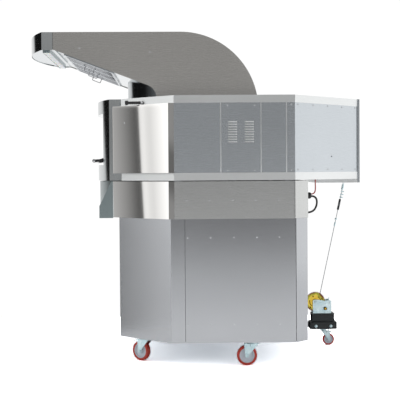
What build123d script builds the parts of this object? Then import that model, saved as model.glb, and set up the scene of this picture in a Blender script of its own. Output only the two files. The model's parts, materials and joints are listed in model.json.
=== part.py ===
from build123d import *
import os
from math import acos, asin, atan2, cos, degrees, pi, radians, sin, sqrt, tan

# A rotary-deck pizza oven on casters, with an extraction hood and a hand winch behind.
# X is across, the baking mouth faces -Y, Z is up. The origin is on the floor, under the
# middle of the whole machine. All sizes are in millimetres.

# Reach of the machine in front of and behind the centre of the round deck
front_reach = 1332
rear_reach = 804
deck_y = (front_reach - rear_reach) / 2
body_width = 1620
half_width = body_width / 2

# The round deck is as large as the casing around its chamber lets it be
side_space = 80
rear_space = 74
front_space = 51
deck_gap = 12
wall_thickness = 18
deck_radius = min(half_width - side_space, rear_reach - rear_space) - wall_thickness - deck_gap
chamber_radius = deck_radius + deck_gap
chamber_outer = chamber_radius + wall_thickness

# Plan of the casing: its end faces, and how far its 45 degree corners cut in
body_front_cut = 353
body_rear_cut = 454
base_front_cut = 326
base_rear_cut = 79
band_rear_cut = 90
base_setback = 38
base_rear_setback = 385
band_overhang = 6
body_front_y = deck_y - chamber_outer - front_space
body_front_half = half_width - body_front_cut
rear_box_depth = 15
body_rear_y = deck_y + rear_reach - rear_box_depth
body_rear_half = half_width - body_rear_cut
base_front_y = body_front_y + base_setback
base_front_half = half_width - base_front_cut
base_rear_y = deck_y + rear_reach - base_rear_setback
base_rear_half = half_width - base_rear_cut
band_rear_y = base_rear_y + band_overhang
band_rear_half = half_width - band_rear_cut

# Heights from the floor
skirt_z = 151
floor_z = 155
band_z = 901
band_top_z = 1128
body_z = 1133
rim_height = 46
body_top_z = 1645
deck_z = 1233
mouth_top_z = 1561
lower_rim_top = body_z + rim_height
upper_rim_z = body_top_z - rim_height

# Posts of the chassis
post = 40
side_post_x = half_width - 50
side_post_front_y = base_front_y + base_front_cut + 46
side_post_rear_y = base_rear_y - base_rear_cut - 41
front_post_x = base_front_half - 60
front_post_y = base_front_y + 45

# Sheet metal
sheet = 2
plate = 4
seam = 2
bend_gap = 0.1
panel_step = 2
corner_proud = 24
corner_return = corner_proud * sqrt(2)
corner_y = body_front_y + half_width - body_front_half
rim_corner_y = corner_y + corner_return

# Side panels: seams on either side of the louvres, and the seam of the rear cover
louvre_panel = 244
cover_seam_y = body_rear_y - body_rear_cut - 51
louvre_rear_y = cover_seam_y - 154
louvre_front_y = louvre_rear_y - louvre_panel
base_seam_y = base_front_y + base_front_cut + 84
louvre_rows = 9
louvre_pitch = 15
louvre_length = 55
louvre_columns = 101
louvre_top_z = 1491
louvre_stand = 4
louvre_mouth = 7

# Bowed front and baking mouth
portal_return = 20
portal_bow = 98
portal_edge_y = body_front_y - portal_return
cheek_tab = 54
stile_width = 121
mouth_half = body_front_half - stile_width
jamb = 4
sill = 4
lining_gap = 2

# Door
door_gap = 3
door_thickness = 18
door_setback = 6
door_axis_drop = 13
door_pin_radius = 4
running_gap = 0.05
window_stile = 83
window_height = 190
glass_thickness = 6
handle_inset = 86
handle_half = mouth_half - handle_inset
handle_radius = 9
handle_reach = 74
handle_z = deck_z + 28
handle_arm_x = handle_half - 20
handle_arm_width = 14

# Control panel and its knob
panel_width = stile_width - 37
panel_depth = 8
control_height = 230
knob_radius = 18
knob_height = 14
knob_grip = 7
knob_drop = -70
spindle_radius = 4

# Round deck, chamber and drive
stone_thickness = 25
stone_parts = 6
stone_joint = 1.5
spider_arms = 6
arm_width = 40
arm_height = 18
shaft_radius = 25
bearing_height = 30
ceiling_z = 1600
heater_radius = 6
heater_foot = 20
heater_tie_height = 22
hub_radius = 80
shaft_z = 960
bearing_flange = 12
bearing_half = 85
gearbox_half = 90
gearbox_height = 150
motor_radius = 62
motor_length = 210
heater_pitch = 150
heater_count = int((deck_radius - 50) // heater_pitch)
heater_tie = 250

# Hood
hood_width = 1108
hood_half = hood_width / 2
hood_top_z = 2057
hood_lip_z = 1946
hood_bow = 122
hood_corner_y = deck_y - front_reach + hood_bow
hood_seam_y = hood_corner_y + 68
hood_bend_y = hood_seam_y + 10
hood_slope = 20.8
hood_foot_y = body_front_y + 282
hood_back_radius = 487
hood_back_y = hood_foot_y + 148
neck_bow = 199
lip_inset = 4

# Grease filters and their wire bails
filter_margin = 26
filter_gap = 8
filter_pitch = (hood_width - 2 * filter_margin) / 3
filter_width = filter_pitch - filter_gap
filter_length = 326
filter_depth = 20
filter_rail = 14
filter_offset = 226
mesh_thickness = 3
mesh_pitch = 50
mesh_hole = 30
mesh_rows = int((filter_length - 2 * filter_rail - mesh_hole * sqrt(2)) / mesh_pitch) + 1
mesh_columns = int((filter_width - 2 * filter_rail - mesh_hole * sqrt(2)) / mesh_pitch) + 1
bail_width = 64
bail_drop = 30
bail_wire = 2.5
lug_drop = 10
lug_width = 6
lug_edge = 4.5
lug_gap = 3
bail_bend = 5

# Lamp under the front of the hood
lamp_inset = 54
lamp_length = hood_width - 2 * lamp_inset
lamp_width = 44
lamp_depth = 16
lamp_y = hood_bend_y - 55

# Damper rod on the right-hand front corner
damper_x = body_front_half + 166
damper_z = upper_rim_z + 13
damper_rod_radius = 6
damper_grip_radius = 11.5
damper_grip = 98
damper_rod_length = 110

# Casters under the base
caster_radius = 62.5
caster_tread = 32
caster_trail = 48
caster_ring = 30
caster_plate_x = 105
caster_plate_y = 85
kingpin_radius = 6
axle_radius = 6
axle_boss = 15
leg_thickness = 3
hub_clear = 3
hub_proud = 2
pedal_offset = 12
pedal_ear = 8
pedal_pin = 2.5
pedal_reach = 45
front_caster_x = base_front_half + 55
front_caster_y = base_front_y + 174
front_caster_turn = 38
rear_caster_x = half_width - 90
rear_caster_y = base_rear_y - 328

# Winch
winch_plate_z = 115
winch_caster_radius = 40
winch_caster_tread = 24
winch_caster_trail = 30
winch_caster_ring = 22
winch_caster_plate = 76
bracket_arm_half = 20
bracket_foot = 6
bracket_arm = 100
bracket_length = 181
bracket_front_y = base_rear_y + bracket_arm
bracket_rear_y = bracket_front_y + bracket_length
winch_caster_y = bracket_front_y + 100
bracket_step_z = 164
bracket_top_z = 221
block_front_y = bracket_front_y + 15
block_rear_y = bracket_rear_y - 17
bracket_half = 60
block_half = 52
winch_half = 45
winch_plate = 3
drum_y = bracket_front_y + 37
drum_z = 300
gear_module = 2.54
gear_teeth = 52
pinion_teeth = 12
ratchet_teeth = 12
gear_x = 34.5
pressure_angle = 25
tooth_addendum = 0.8
tooth_dedendum = 1.05
backlash = 0.3
gear_width = 6
drum_core = 24
drum_axle = 8
rope_radius = 2.5
hook_y = body_rear_y - 33
ratchet_radius = 24
ratchet_depth = 5
ratchet_x = 38.5
drum_flange = 50
drum_flange_x = 27
pinion_drop = 34.5
pinion_shaft = 7
pinion_nut = 10
pinion_end = 10
winch_plate_rear_y = bracket_front_y + 144
pawl_y = bracket_front_y + 132
pawl_z = 290
pawl_pin = 4
pawl_angle = 72
pawl_clear = 0.5
lever_y = 8
lever_z = 30
rope_clear = 0.2
eye_drop = 14
eye_half = 7
rope_sleeves = ((0, 16, 6), (45, 57, 8), (98, 182, 6), (236, 248, 8), (262, 292, 5))

# Cable gland and leads behind the drive band
gland_x = band_rear_half - 90
gland_z = 1034
gland_radius = 21
gland_length = 31
black_lead_radius = 6
black_loop = 31
black_drop = 106
red_lead_radius = 3.75
red_lead_y = band_rear_y + 54

os.makedirs("parts", exist_ok=True)


def plan_corners(front_y, front_half, rear_y, rear_half, inset):
    """Right-hand corners, front to rear, of an eight-sided plan with 45 degree corners."""
    mitre = inset * tan(radians(22.5))
    side = half_width - inset
    return [
        (front_half - mitre, front_y + inset),
        (side, front_y + half_width - front_half + mitre),
        (side, rear_y - half_width + rear_half - mitre),
        (rear_half - mitre, rear_y - inset),
    ]


def base_plan(inset):
    """Corners of the closed base."""
    return plan_corners(base_front_y, base_front_half, base_rear_y, base_rear_half, inset)


def band_plan(inset):
    """Corners of the drive band."""
    return plan_corners(body_front_y, body_front_half, band_rear_y, band_rear_half, inset)


def rim_plan(inset):
    """Corners of the chamber body at its rims, behind the proud corner panels."""
    front_half = body_front_half - corner_return
    return plan_corners(body_front_y, front_half, body_rear_y, body_rear_half, inset)


def both_sides(corners):
    """Outline or path from its right-hand corners."""
    return corners + [(-x, y) for x, y in reversed(corners)]


def toward(start, end, distance):
    """Point at a distance from start on the way to end."""
    length = sqrt((end[0] - start[0]) ** 2 + (end[1] - start[1]) ** 2)
    return tuple(a + (b - a) * distance / length for a, b in zip(start, end))


def bow_y(x, half, edge_y, bow):
    """Y of a bowed front at a distance x from its middle."""
    radius = (half**2 + bow**2) / (2 * bow)
    return edge_y - bow + radius - sqrt(radius**2 - x**2)


def add_plate(points, z, height):
    """Prism on a plan outline."""
    with BuildSketch(Plane.XY.offset(z)) as plan:
        with BuildLine():
            Polyline(*points, close=True)
        make_face()
    extrude(plan.sketch, amount=height)


def add_walls(outer, inner, z, height):
    """Upright flat walls between two paths, apart from each other at the bends."""
    for index in range(len(outer) - 1):
        corners = [outer[index], outer[index + 1], inner[index + 1], inner[index]]
        add_plate(
            [
                toward(corners[0], corners[1], bend_gap),
                toward(corners[1], corners[0], bend_gap),
                toward(corners[2], corners[3], bend_gap),
                toward(corners[3], corners[2], bend_gap),
            ],
            z,
            height,
        )


def add_box(low, high, mode=Mode.ADD):
    """Box between two corners."""
    size = [abs(b - a) for a, b in zip(low, high)]
    centre = tuple((a + b) / 2 for a, b in zip(low, high))
    with Locations(centre):
        Box(*size, mode=mode)


def add_bowed_plate(points, tip_y, z, height):
    """Plate whose last edge, from the last point to the first, is bowed to a tip."""
    with BuildSketch(Plane.XY.offset(z)) as plan:
        with BuildLine():
            Polyline(*points)
            ThreePointArc(points[-1], (0, tip_y), points[0])
        make_face()
    extrude(plan.sketch, amount=height)


def add_bowed_sheet(half, edge_y, bow, z, height):
    """Upright sheet bowed towards the front."""
    with BuildSketch(Plane.XY.offset(z)) as plan:
        with BuildLine():
            ThreePointArc((half, edge_y), (0, edge_y - bow), (-half, edge_y))
            ThreePointArc(
                (-half, edge_y + sheet), (0, edge_y - bow + sheet), (half, edge_y + sheet)
            )
            Line((-half, edge_y), (-half, edge_y + sheet))
            Line((half, edge_y), (half, edge_y + sheet))
        make_face()
    extrude(plan.sketch, amount=height)


def add_side_profile(points, low_x, high_x, mode=Mode.ADD):
    """Prism across the machine on an outline of (y, z) points."""
    with BuildSketch(Plane.YZ.offset(low_x)) as profile:
        with BuildLine():
            Polyline(*points, close=True)
        make_face()
    extrude(profile.sketch, amount=high_x - low_x, mode=mode)


def add_corner_panel(z, height):
    """Proud corner panel: a face, a return on the side, and flanges above and below."""
    front = (body_front_half, body_front_y)
    corner = (half_width, corner_y)
    end = (half_width, rim_corner_y)
    outline = [front, corner, end, (body_front_half, body_front_y + corner_return)]
    inner = [
        (body_front_half - sheet * sqrt(2), body_front_y),
        (half_width - sheet, corner_y + sheet * tan(radians(22.5))),
        (half_width - sheet, rim_corner_y),
    ]
    add_walls([front, corner, end], inner, z + sheet, height - 2 * sheet)
    add_plate(outline, z, sheet - bend_gap)
    add_plate(outline, z + height - sheet + bend_gap, sheet - bend_gap)


def gear_outline(teeth, turn):
    """Corners of an involute gear, with a tooth pointing at the angle turn."""
    pitch = gear_module * teeth / 2
    base = pitch * cos(radians(pressure_angle))
    root = pitch - tooth_dedendum * gear_module
    tip = pitch + tooth_addendum * gear_module
    slant = radians(pressure_angle)
    at_base = pi / (2 * teeth) - backlash / (4 * pitch) + tan(slant) - slant
    flank = [root, max(root, base) + 0.2, pitch, (pitch + tip) / 2, tip]
    halves = []
    for radius in flank:
        roll = acos(min(1, base / radius))
        halves.append(at_base - tan(roll) + roll)
    points = []
    for tooth in range(teeth):
        middle = turn + 2 * pi * tooth / teeth
        side = [(radius, middle - half) for radius, half in zip(flank, halves)]
        side += [(radius, middle + half) for radius, half in zip(reversed(flank), reversed(halves))]
        points += [(radius * cos(angle), radius * sin(angle)) for radius, angle in side]
    return points


def ratchet_outline(teeth, tip, depth):
    """Corners of a saw-toothed ratchet wheel."""
    points = []
    for tooth in range(teeth):
        angle = 2 * pi * tooth / teeth
        points.append((tip * cos(angle), tip * sin(angle)))
        points.append(((tip - depth) * cos(angle), (tip - depth) * sin(angle)))
    return points


# Chassis: floor plate, posts, machine plate over the base and short posts in the band
post_spots = [
    (side_post_x, side_post_front_y),
    (side_post_x, side_post_rear_y),
    (front_post_x, front_post_y),
]
band_bow_edge = body_front_y - portal_return / 2
machine_half = body_front_half - 2 * sheet
machine_plan = [
    (machine_half, band_bow_edge + sheet),
    (machine_half, body_front_y + corner_return + sheet),
    (body_front_half + 2 * sheet, body_front_y + corner_return + 3 * sheet),
    (half_width - panel_step - sheet, rim_corner_y),
] + band_plan(panel_step + sheet)[2:]
with BuildPart() as chassis:
    add_plate(both_sides(base_plan(panel_step + sheet)), floor_z, plate)
    add_bowed_plate(both_sides(machine_plan), band_bow_edge - portal_bow + sheet, band_z, plate)
    for x, y in post_spots:
        for side in (-1, 1):
            low = (side * x - post / 2, y - post / 2)
            high = (side * x + post / 2, y + post / 2)
            add_box((*low, floor_z + plate + bend_gap), (*high, band_z - bend_gap))
            add_box((*low, band_z + plate + bend_gap), (*high, body_z))
chassis.part.label = "chassis"
export_step(chassis.part, "parts/chassis.step")

# Base panels: front and bent corners, sides, and the bent rear cover
base_outer = base_plan(panel_step)
base_inner = base_plan(panel_step + sheet)
base_height = band_z - skirt_z
with BuildPart() as base_front_panels:
    corner_outer = [base_outer[0], base_outer[1], (base_outer[1][0], base_seam_y)]
    corner_inner = [base_inner[0], base_inner[1], (base_inner[1][0], base_seam_y)]
    add_walls(corner_outer, corner_inner, skirt_z, base_height)
    mirror(about=Plane.YZ)
    front_half = base_inner[0][0] - seam
    add_box((-front_half, base_outer[0][1], skirt_z), (front_half, base_inner[0][1], band_z))
base_front_panels.part.label = "base_front_panels"
export_step(base_front_panels.part, "parts/base_front_panels.step")

with BuildPart() as base_side_panels:
    add_box(
        (base_inner[1][0], base_seam_y + seam, skirt_z),
        (base_outer[1][0], base_inner[2][1] - seam, band_z),
    )
    mirror(about=Plane.YZ)
base_side_panels.part.label = "base_side_panels"
export_step(base_side_panels.part, "parts/base_side_panels.step")

with BuildPart() as base_rear_cover:
    add_walls(both_sides(base_outer[2:]), both_sides(base_inner[2:]), skirt_z, base_height)
base_rear_cover.part.label = "base_rear_cover"
export_step(base_rear_cover.part, "parts/base_rear_cover.step")

# Drive band: bowed front between two wings, polished corners, sides and rear wrap
wing_front_y = body_front_y - 87
wing_low_z = band_z - 5
wing_step_z = band_z + 71
wing = [
    (body_front_y, wing_low_z),
    (wing_front_y, wing_low_z),
    (wing_front_y, wing_step_z),
    (band_bow_edge, band_top_z),
    (body_front_y, band_top_z),
]
with BuildPart() as band_front:
    add_bowed_sheet(
        body_front_half - sheet - bend_gap,
        band_bow_edge,
        portal_bow,
        band_z + plate,
        band_top_z - band_z - plate,
    )
    add_side_profile(wing, body_front_half - sheet, body_front_half)
    add_side_profile(wing, -body_front_half, -body_front_half + sheet)
band_front.part.label = "band_front"
export_step(band_front.part, "parts/band_front.step")

with BuildPart() as band_corner_panels:
    add_corner_panel(band_z, band_top_z - band_z)
    mirror(about=Plane.YZ)
band_corner_panels.part.label = "band_corner_panels"
export_step(band_corner_panels.part, "parts/band_corner_panels.step")

band_outer = band_plan(panel_step)
band_inner = band_plan(panel_step + sheet)
with BuildPart() as band_panels:
    add_box(
        (band_inner[1][0], rim_corner_y, band_z),
        (band_outer[1][0], band_inner[2][1] - seam, band_top_z),
    )
    mirror(about=Plane.YZ)
    add_walls(
        both_sides(band_outer[2:]), both_sides(band_inner[2:]), band_z, band_top_z - band_z
    )
band_panels.part.label = "band_panels"
export_step(band_panels.part, "parts/band_panels.step")

# Chamber body: floor with the pan under its rear, rims, panels, rear cover and top.
# Its plates are notched behind the tabs of the portal.
rim_outer = rim_plan(0)
rim_inner = rim_plan(sheet)
tab_rear_y = body_front_y + cheek_tab
notch_y = tab_rear_y + sheet
notch_x = rim_inner[0][0] + notch_y - rim_inner[0][1]
plate_plan = [
    (body_front_half - sheet, rim_inner[0][1]),
    (body_front_half - sheet, notch_y),
    (notch_x, notch_y),
] + rim_inner[1:]
floor_thickness = 3
pan_front_y = body_rear_y - 253
pan_z = body_z - 24
pan_half = body_rear_half - sheet
with BuildPart() as body_floor:
    add_plate(both_sides(plate_plan), body_z, floor_thickness)
    with Locations((0, deck_y, body_z)):
        Cylinder(shaft_radius + 10, 4 * floor_thickness, mode=Mode.SUBTRACT)
    add_box((-pan_half, pan_front_y, pan_z), (pan_half, body_rear_y, pan_z + sheet))
    wall_low = pan_z + sheet + bend_gap
    wall_high = body_z - bend_gap
    add_box((-pan_half, pan_front_y, wall_low), (pan_half, pan_front_y + sheet, wall_high))
    for side in (-1, 1):
        add_box(
            (side * pan_half, pan_front_y + sheet + bend_gap, wall_low),
            (side * (pan_half - sheet), body_rear_y, wall_high),
        )
body_floor.part.label = "body_floor"
export_step(body_floor.part, "parts/body_floor.step")

strip_outer = (notch_x + sheet * sqrt(2), notch_y)
strip_inner = (notch_x, notch_y)
damper_y = damper_x + rim_corner_y - half_width
with BuildPart() as body_rims:
    for z in (body_z, upper_rim_z):
        add_walls([strip_outer] + rim_outer[1:], [strip_inner] + rim_inner[1:], z, rim_height)
    mirror(about=Plane.YZ)
    with Locations(Location((damper_x, damper_y, damper_z), (90, 0, 0))):
        Cylinder(damper_rod_radius + running_gap, 2 * rim_height, mode=Mode.SUBTRACT)
body_rims.part.label = "body_rims"
export_step(body_rims.part, "parts/body_rims.step")

panel_height = upper_rim_z - lower_rim_top
with BuildPart() as body_corner_panels:
    add_corner_panel(lower_rim_top, panel_height)
    mirror(about=Plane.YZ)
body_corner_panels.part.label = "body_corner_panels"
export_step(body_corner_panels.part, "parts/body_corner_panels.step")

panel_out = half_width - panel_step
panel_in = panel_out - sheet
with BuildPart() as body_side_panels:
    add_box((panel_in, rim_corner_y, lower_rim_top), (panel_out, louvre_front_y, upper_rim_z))
    add_box(
        (panel_in, louvre_rear_y, lower_rim_top), (panel_out, cover_seam_y - seam, upper_rim_z)
    )
    mirror(about=Plane.YZ)
body_side_panels.part.label = "body_side_panels"
export_step(body_side_panels.part, "parts/body_side_panels.step")

# Each louvre is a lip pressed out over a slot
louvre_mid_y = (louvre_front_y + louvre_rear_y) / 2
louvre_mid_z = louvre_top_z - louvre_pitch * (louvre_rows - 1) / 2 - louvre_mouth
with BuildPart() as louvre_panels:
    add_box(
        (panel_in, louvre_front_y + seam, lower_rim_top),
        (panel_out, louvre_rear_y - seam, upper_rim_z),
    )
    with BuildSketch(Plane.YZ.offset(panel_in)):
        with Locations((louvre_mid_y, louvre_mid_z)):
            with GridLocations(louvre_columns, louvre_pitch, 2, louvre_rows):
                Rectangle(louvre_length - 2 * sheet, louvre_mouth - sheet)
    extrude(amount=2 * sheet, mode=Mode.SUBTRACT)
    for column in (-0.5, 0.5):
        for row in range(louvre_rows):
            mid_y = louvre_mid_y + column * louvre_columns
            mid_z = louvre_mid_z + (row - (louvre_rows - 1) / 2) * louvre_pitch
            lip = [
                (panel_out, mid_z + louvre_mouth / 2),
                (panel_out + louvre_stand, mid_z - louvre_mouth / 2),
                (panel_out + louvre_stand - 1, mid_z - louvre_mouth / 2),
                (panel_out, mid_z + louvre_mouth / 2 - sheet),
            ]
            with BuildSketch(Plane.XZ.offset(-mid_y)) as section:
                with BuildLine():
                    Polyline(*lip, close=True)
                make_face()
            extrude(section.sketch, amount=louvre_length / 2, both=True)
    mirror(about=Plane.YZ)
louvre_panels.part.label = "louvre_panels"
export_step(louvre_panels.part, "parts/louvre_panels.step")

cover_outer = rim_plan(panel_step)
cover_inner = rim_plan(panel_step + sheet)
rear_y = deck_y + rear_reach
with BuildPart() as rear_cover:
    add_walls(
        [(panel_out, cover_seam_y), *cover_outer[2:]],
        [(panel_in, cover_seam_y), *cover_inner[2:]],
        lower_rim_top,
        panel_height,
    )
    mirror(about=Plane.YZ)
    add_box((-body_rear_half, rear_y - sheet, pan_z), (body_rear_half, rear_y, body_top_z))
    box_rear_y = rear_y - sheet - bend_gap
    for side in (-1, 1):
        add_box(
            (side * body_rear_half, body_rear_y, pan_z),
            (side * (body_rear_half - sheet), box_rear_y, body_top_z),
        )
    lid_half = body_rear_half - sheet - bend_gap
    add_box((-lid_half, body_rear_y, pan_z), (lid_half, box_rear_y, pan_z + sheet))
    add_box((-lid_half, body_rear_y, body_top_z - sheet), (lid_half, box_rear_y, body_top_z))
rear_cover.part.label = "rear_cover"
export_step(rear_cover.part, "parts/rear_cover.step")

with BuildPart() as body_top:
    add_plate(both_sides(plate_plan), body_top_z - sheet, sheet)
body_top.part.label = "body_top"
export_step(body_top.part, "parts/body_top.step")

# Portal: bowed header, apron and stiles, lids, cheeks with tabs, and the mouth's lining
mouth_front_y = bow_y(mouth_half, body_front_half, portal_edge_y, portal_bow)
lining_half = mouth_half + jamb
jamb_rear_y = deck_y + lining_half - chamber_radius * sqrt(2)
sill_rear_y = deck_y - chamber_radius
portal_tip_y = portal_edge_y - portal_bow
lining_front_y = bow_y(lining_half, body_front_half, portal_edge_y, portal_bow) + sheet
door_axis_y = mouth_front_y + door_setback + door_thickness / 2
door_axis_z = mouth_top_z - door_axis_drop
with BuildPart() as portal:
    add_bowed_sheet(
        body_front_half, portal_edge_y, portal_bow, deck_z + bend_gap, mouth_top_z - deck_z - 2 * bend_gap
    )
    add_box(
        (-mouth_half, portal_tip_y - sheet, deck_z),
        (mouth_half, body_front_y, mouth_top_z),
        mode=Mode.SUBTRACT,
    )
    lid = [
        (body_front_half, portal_edge_y),
        (body_front_half, body_front_y),
        (-body_front_half, body_front_y),
        (-body_front_half, portal_edge_y),
    ]
    for low_z, high_z, lid_z in (
        (body_z, deck_z, body_z),
        (mouth_top_z, body_top_z, body_top_z - sheet),
    ):
        add_bowed_sheet(body_front_half, portal_edge_y, portal_bow, low_z, high_z - low_z)
        add_bowed_plate(lid, portal_tip_y, lid_z, sheet)
    for side in (-1, 1):
        near_x = side * (body_front_half + bend_gap)
        far_x = side * (body_front_half + sheet)
        add_box((near_x, portal_edge_y, body_z), (far_x, body_front_y - bend_gap, body_top_z))
        for z in (body_z, upper_rim_z):
            add_box((near_x, body_front_y, z), (far_x, tab_rear_y, z + rim_height))
            add_box(
                (far_x + side * bend_gap, tab_rear_y - sheet, z),
                (side * notch_x, tab_rear_y, z + rim_height),
            )
        add_box(
            (side * mouth_half, mouth_front_y + 2 * sheet, deck_z + bend_gap),
            (side * lining_half, jamb_rear_y, mouth_top_z - bend_gap),
        )
    lining = [
        (lining_half, lining_front_y + bend_gap),
        (lining_half, sill_rear_y),
        (-lining_half, sill_rear_y),
        (-lining_half, lining_front_y + bend_gap),
    ]
    lining_tip_y = portal_tip_y + sheet + 2 * bend_gap
    add_bowed_plate(lining, lining_tip_y, deck_z - sill, sill)
    add_bowed_plate(lining, lining_tip_y, mouth_top_z, sill)
    with Locations(Location((0, door_axis_y, door_axis_z), (0, 90, 0))):
        Cylinder(door_pin_radius + running_gap, 2 * lining_half, mode=Mode.SUBTRACT)
portal.part.label = "portal"
export_step(portal.part, "parts/portal.step")

# Chamber: octagonal refractory wall, open at the mouth, and its ceiling
wall_length = 2 * chamber_radius * tan(radians(22.5)) - 1
wall_middle = chamber_radius + wall_thickness / 2
liner_top = ceiling_z - bend_gap
liner_floor = body_z + floor_thickness
diagonal_in = chamber_radius * sqrt(2)
diagonal_out = chamber_outer * sqrt(2)
cut_x = lining_half + lining_gap
with BuildPart() as chamber_liner:
    for turn in (0, 45, 90, 135, 180):
        spot = Location((0, deck_y, 0), (0, 0, turn - 90))
        height = liner_top - liner_floor
        with Locations(spot * Location((0, wall_middle, liner_floor + height / 2))):
            Box(wall_length, wall_thickness, height)
    for turn in (-45, 0, 45):
        spot = Location((0, deck_y, 0), (0, 0, turn))
        for low_z, high_z in (
            (liner_floor, deck_z - sill),
            (mouth_top_z + sill, liner_top),
        ):
            with Locations(spot * Location((0, -wall_middle, (low_z + high_z) / 2))):
                Box(wall_length, wall_thickness, high_z - low_z)
    run = wall_length / 2 / sqrt(2)
    for side in (-1, 1):
        add_plate(
            [
                (side * cut_x, deck_y - diagonal_in + cut_x),
                (side * (diagonal_in / 2 + run), deck_y - diagonal_in / 2 + run),
                (side * (diagonal_out / 2 + run), deck_y - diagonal_out / 2 + run),
                (side * cut_x, deck_y - diagonal_out + cut_x),
            ],
            deck_z - sill + bend_gap,
            mouth_top_z - deck_z + 2 * sill - 2 * bend_gap,
        )
    with BuildSketch(Plane.XY.offset(ceiling_z)):
        with Locations((0, deck_y)):
            RegularPolygon(chamber_outer, 8, major_radius=False, rotation=22.5)
    extrude(amount=wall_thickness)
chamber_liner.part.label = "chamber_liner"
export_step(chamber_liner.part, "parts/chamber_liner.step")

# Electric heating rods above and below the deck, each set on two cross bars
heater_low_z = liner_floor + heater_foot + heater_radius
heater_high_z = ceiling_z - heater_foot - heater_radius
with BuildPart() as heating_elements:
    for z, tie_z in (
        (heater_low_z, liner_floor + heater_tie_height / 2),
        (heater_high_z, ceiling_z - heater_tie_height / 2),
    ):
        for x in [heater_pitch * (index + 1) for index in range(heater_count)]:
            reach = sqrt((deck_radius - 3 * heater_radius) ** 2 - x**2) - heater_radius
            for side in (-1, 1):
                with Locations(Location((side * x, deck_y, z), (90, 0, 0))):
                    Cylinder(heater_radius, 2 * reach)
        with Locations((0, deck_y - heater_tie, tie_z), (0, deck_y + heater_tie, tie_z)):
            Box(
                2 * heater_count * heater_pitch + 4 * heater_radius,
                2 * heater_radius,
                heater_tie_height,
            )
heating_elements.part.label = "heating_elements"
export_step(heating_elements.part, "parts/heating_elements.step")

# Turning deck: bearing on the floor, spider with its shaft, stone in segments, gearmotor
arm_z = deck_z - stone_thickness - arm_height
hub_z = liner_floor + bearing_height + seam / 2
with BuildPart() as deck_bearing:
    with Locations((0, deck_y, liner_floor + bearing_flange / 2)):
        Box(2 * bearing_half, 2 * bearing_half, bearing_flange)
    with Locations((0, deck_y, liner_floor + bearing_height / 2)):
        Cylinder(shaft_radius + 20, bearing_height)
        Cylinder(shaft_radius + running_gap, 2 * bearing_height, mode=Mode.SUBTRACT)
deck_bearing.part.label = "deck_bearing"
export_step(deck_bearing.part, "parts/deck_bearing.step")

with BuildPart() as deck_spider:
    hub_height = deck_z - stone_thickness - hub_z
    with Locations((0, deck_y, hub_z + hub_height / 2)):
        Cylinder(hub_radius, hub_height)
    shaft_length = hub_z - bend_gap - shaft_z
    with Locations((0, deck_y, shaft_z + shaft_length / 2)):
        Cylinder(shaft_radius, shaft_length)
    arm_length = deck_radius - 10 - hub_radius - arm_height / 4
    for index in range(spider_arms):
        spot = Location((0, deck_y, arm_z + arm_height / 2), (0, 0, 360 * index / spider_arms))
        with Locations(spot * Location((deck_radius - 10 - arm_length / 2, 0, 0))):
            Box(arm_length, arm_width, arm_height)
deck_spider.part.label = "deck_spider"
export_step(deck_spider.part, "parts/deck_spider.step")

with BuildPart() as deck_stone:
    with Locations((0, deck_y, deck_z - stone_thickness / 2)):
        Cylinder(deck_radius, stone_thickness)
    for index in range(stone_parts // 2):
        turn = 360 * (index + 0.5) / stone_parts
        with Locations(Location((0, deck_y, deck_z - stone_thickness / 2), (0, 0, turn))):
            Box(3 * deck_radius, stone_joint, 2 * stone_thickness, mode=Mode.SUBTRACT)
deck_stone.part.label = "deck_stone"
export_step(deck_stone.part, "parts/deck_stone.step")

motor_z = band_z + plate
with BuildPart() as gearmotor:
    add_box(
        (-gearbox_half, deck_y - gearbox_half, motor_z),
        (gearbox_half, deck_y + gearbox_half, motor_z + gearbox_height),
    )
    with Locations((0, deck_y, motor_z + gearbox_height)):
        bore_depth = motor_z + gearbox_height - shaft_z + seam
        Cylinder(shaft_radius + running_gap, 2 * bore_depth, mode=Mode.SUBTRACT)
    motor_spot = Location(
        (0, deck_y + gearbox_half + motor_length / 2 + bend_gap, motor_z + motor_radius), (90, 0, 0)
    )
    with Locations(motor_spot):
        Cylinder(motor_radius, motor_length)
gearmotor.part.label = "gearmotor"
export_step(gearmotor.part, "parts/gearmotor.step")

# Door on two pins in the mouth's jambs, with a window and a bar handle on two arms
door_half = mouth_half - door_gap
door_low_z = deck_z + door_gap
door_high_z = mouth_top_z - 2 * door_gap
door_face_y = mouth_front_y + door_setback
window_width = 2 * (door_half - window_stile)
window_z = (door_low_z + door_high_z) / 2 + 18
glass_lip = 10
with BuildPart() as door:
    add_box(
        (-door_half, door_face_y, door_low_z),
        (door_half, door_face_y + door_thickness, door_high_z),
    )
    with Locations((0, door_axis_y, window_z)):
        Box(window_width, 2 * door_thickness, window_height, mode=Mode.SUBTRACT)
        Box(
            window_width + 2 * glass_lip,
            glass_thickness,
            window_height + 2 * glass_lip,
            mode=Mode.SUBTRACT,
        )
    with Locations(Location((0, door_axis_y, door_axis_z), (0, 90, 0))):
        Cylinder(door_pin_radius, 2 * (lining_half - 1))
door.part.label = "door"
export_step(door.part, "parts/door.step")

with BuildPart() as door_glass:
    with Locations((0, door_axis_y, window_z)):
        Box(window_width + 2 * glass_lip, glass_thickness, window_height + 2 * glass_lip)
door_glass.part.label = "door_glass"
export_step(door_glass.part, "parts/door_glass.step")

handle_y = door_face_y - handle_reach
arm = [
    (door_face_y, handle_z + 24),
    (door_face_y, handle_z + 2),
    (handle_y + handle_radius + bend_gap, handle_z - 7),
    (handle_y + handle_radius + bend_gap, handle_z + 8),
]
with BuildPart() as door_handle:
    with Locations(Location((0, handle_y, handle_z), (0, 90, 0))):
        Cylinder(handle_radius, 2 * handle_half)
    for x in (-handle_arm_x, handle_arm_x):
        add_side_profile(arm, x - handle_arm_width / 2, x + handle_arm_width / 2)
door_handle.part.label = "door_handle"
export_step(door_handle.part, "parts/door_handle.step")

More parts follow.
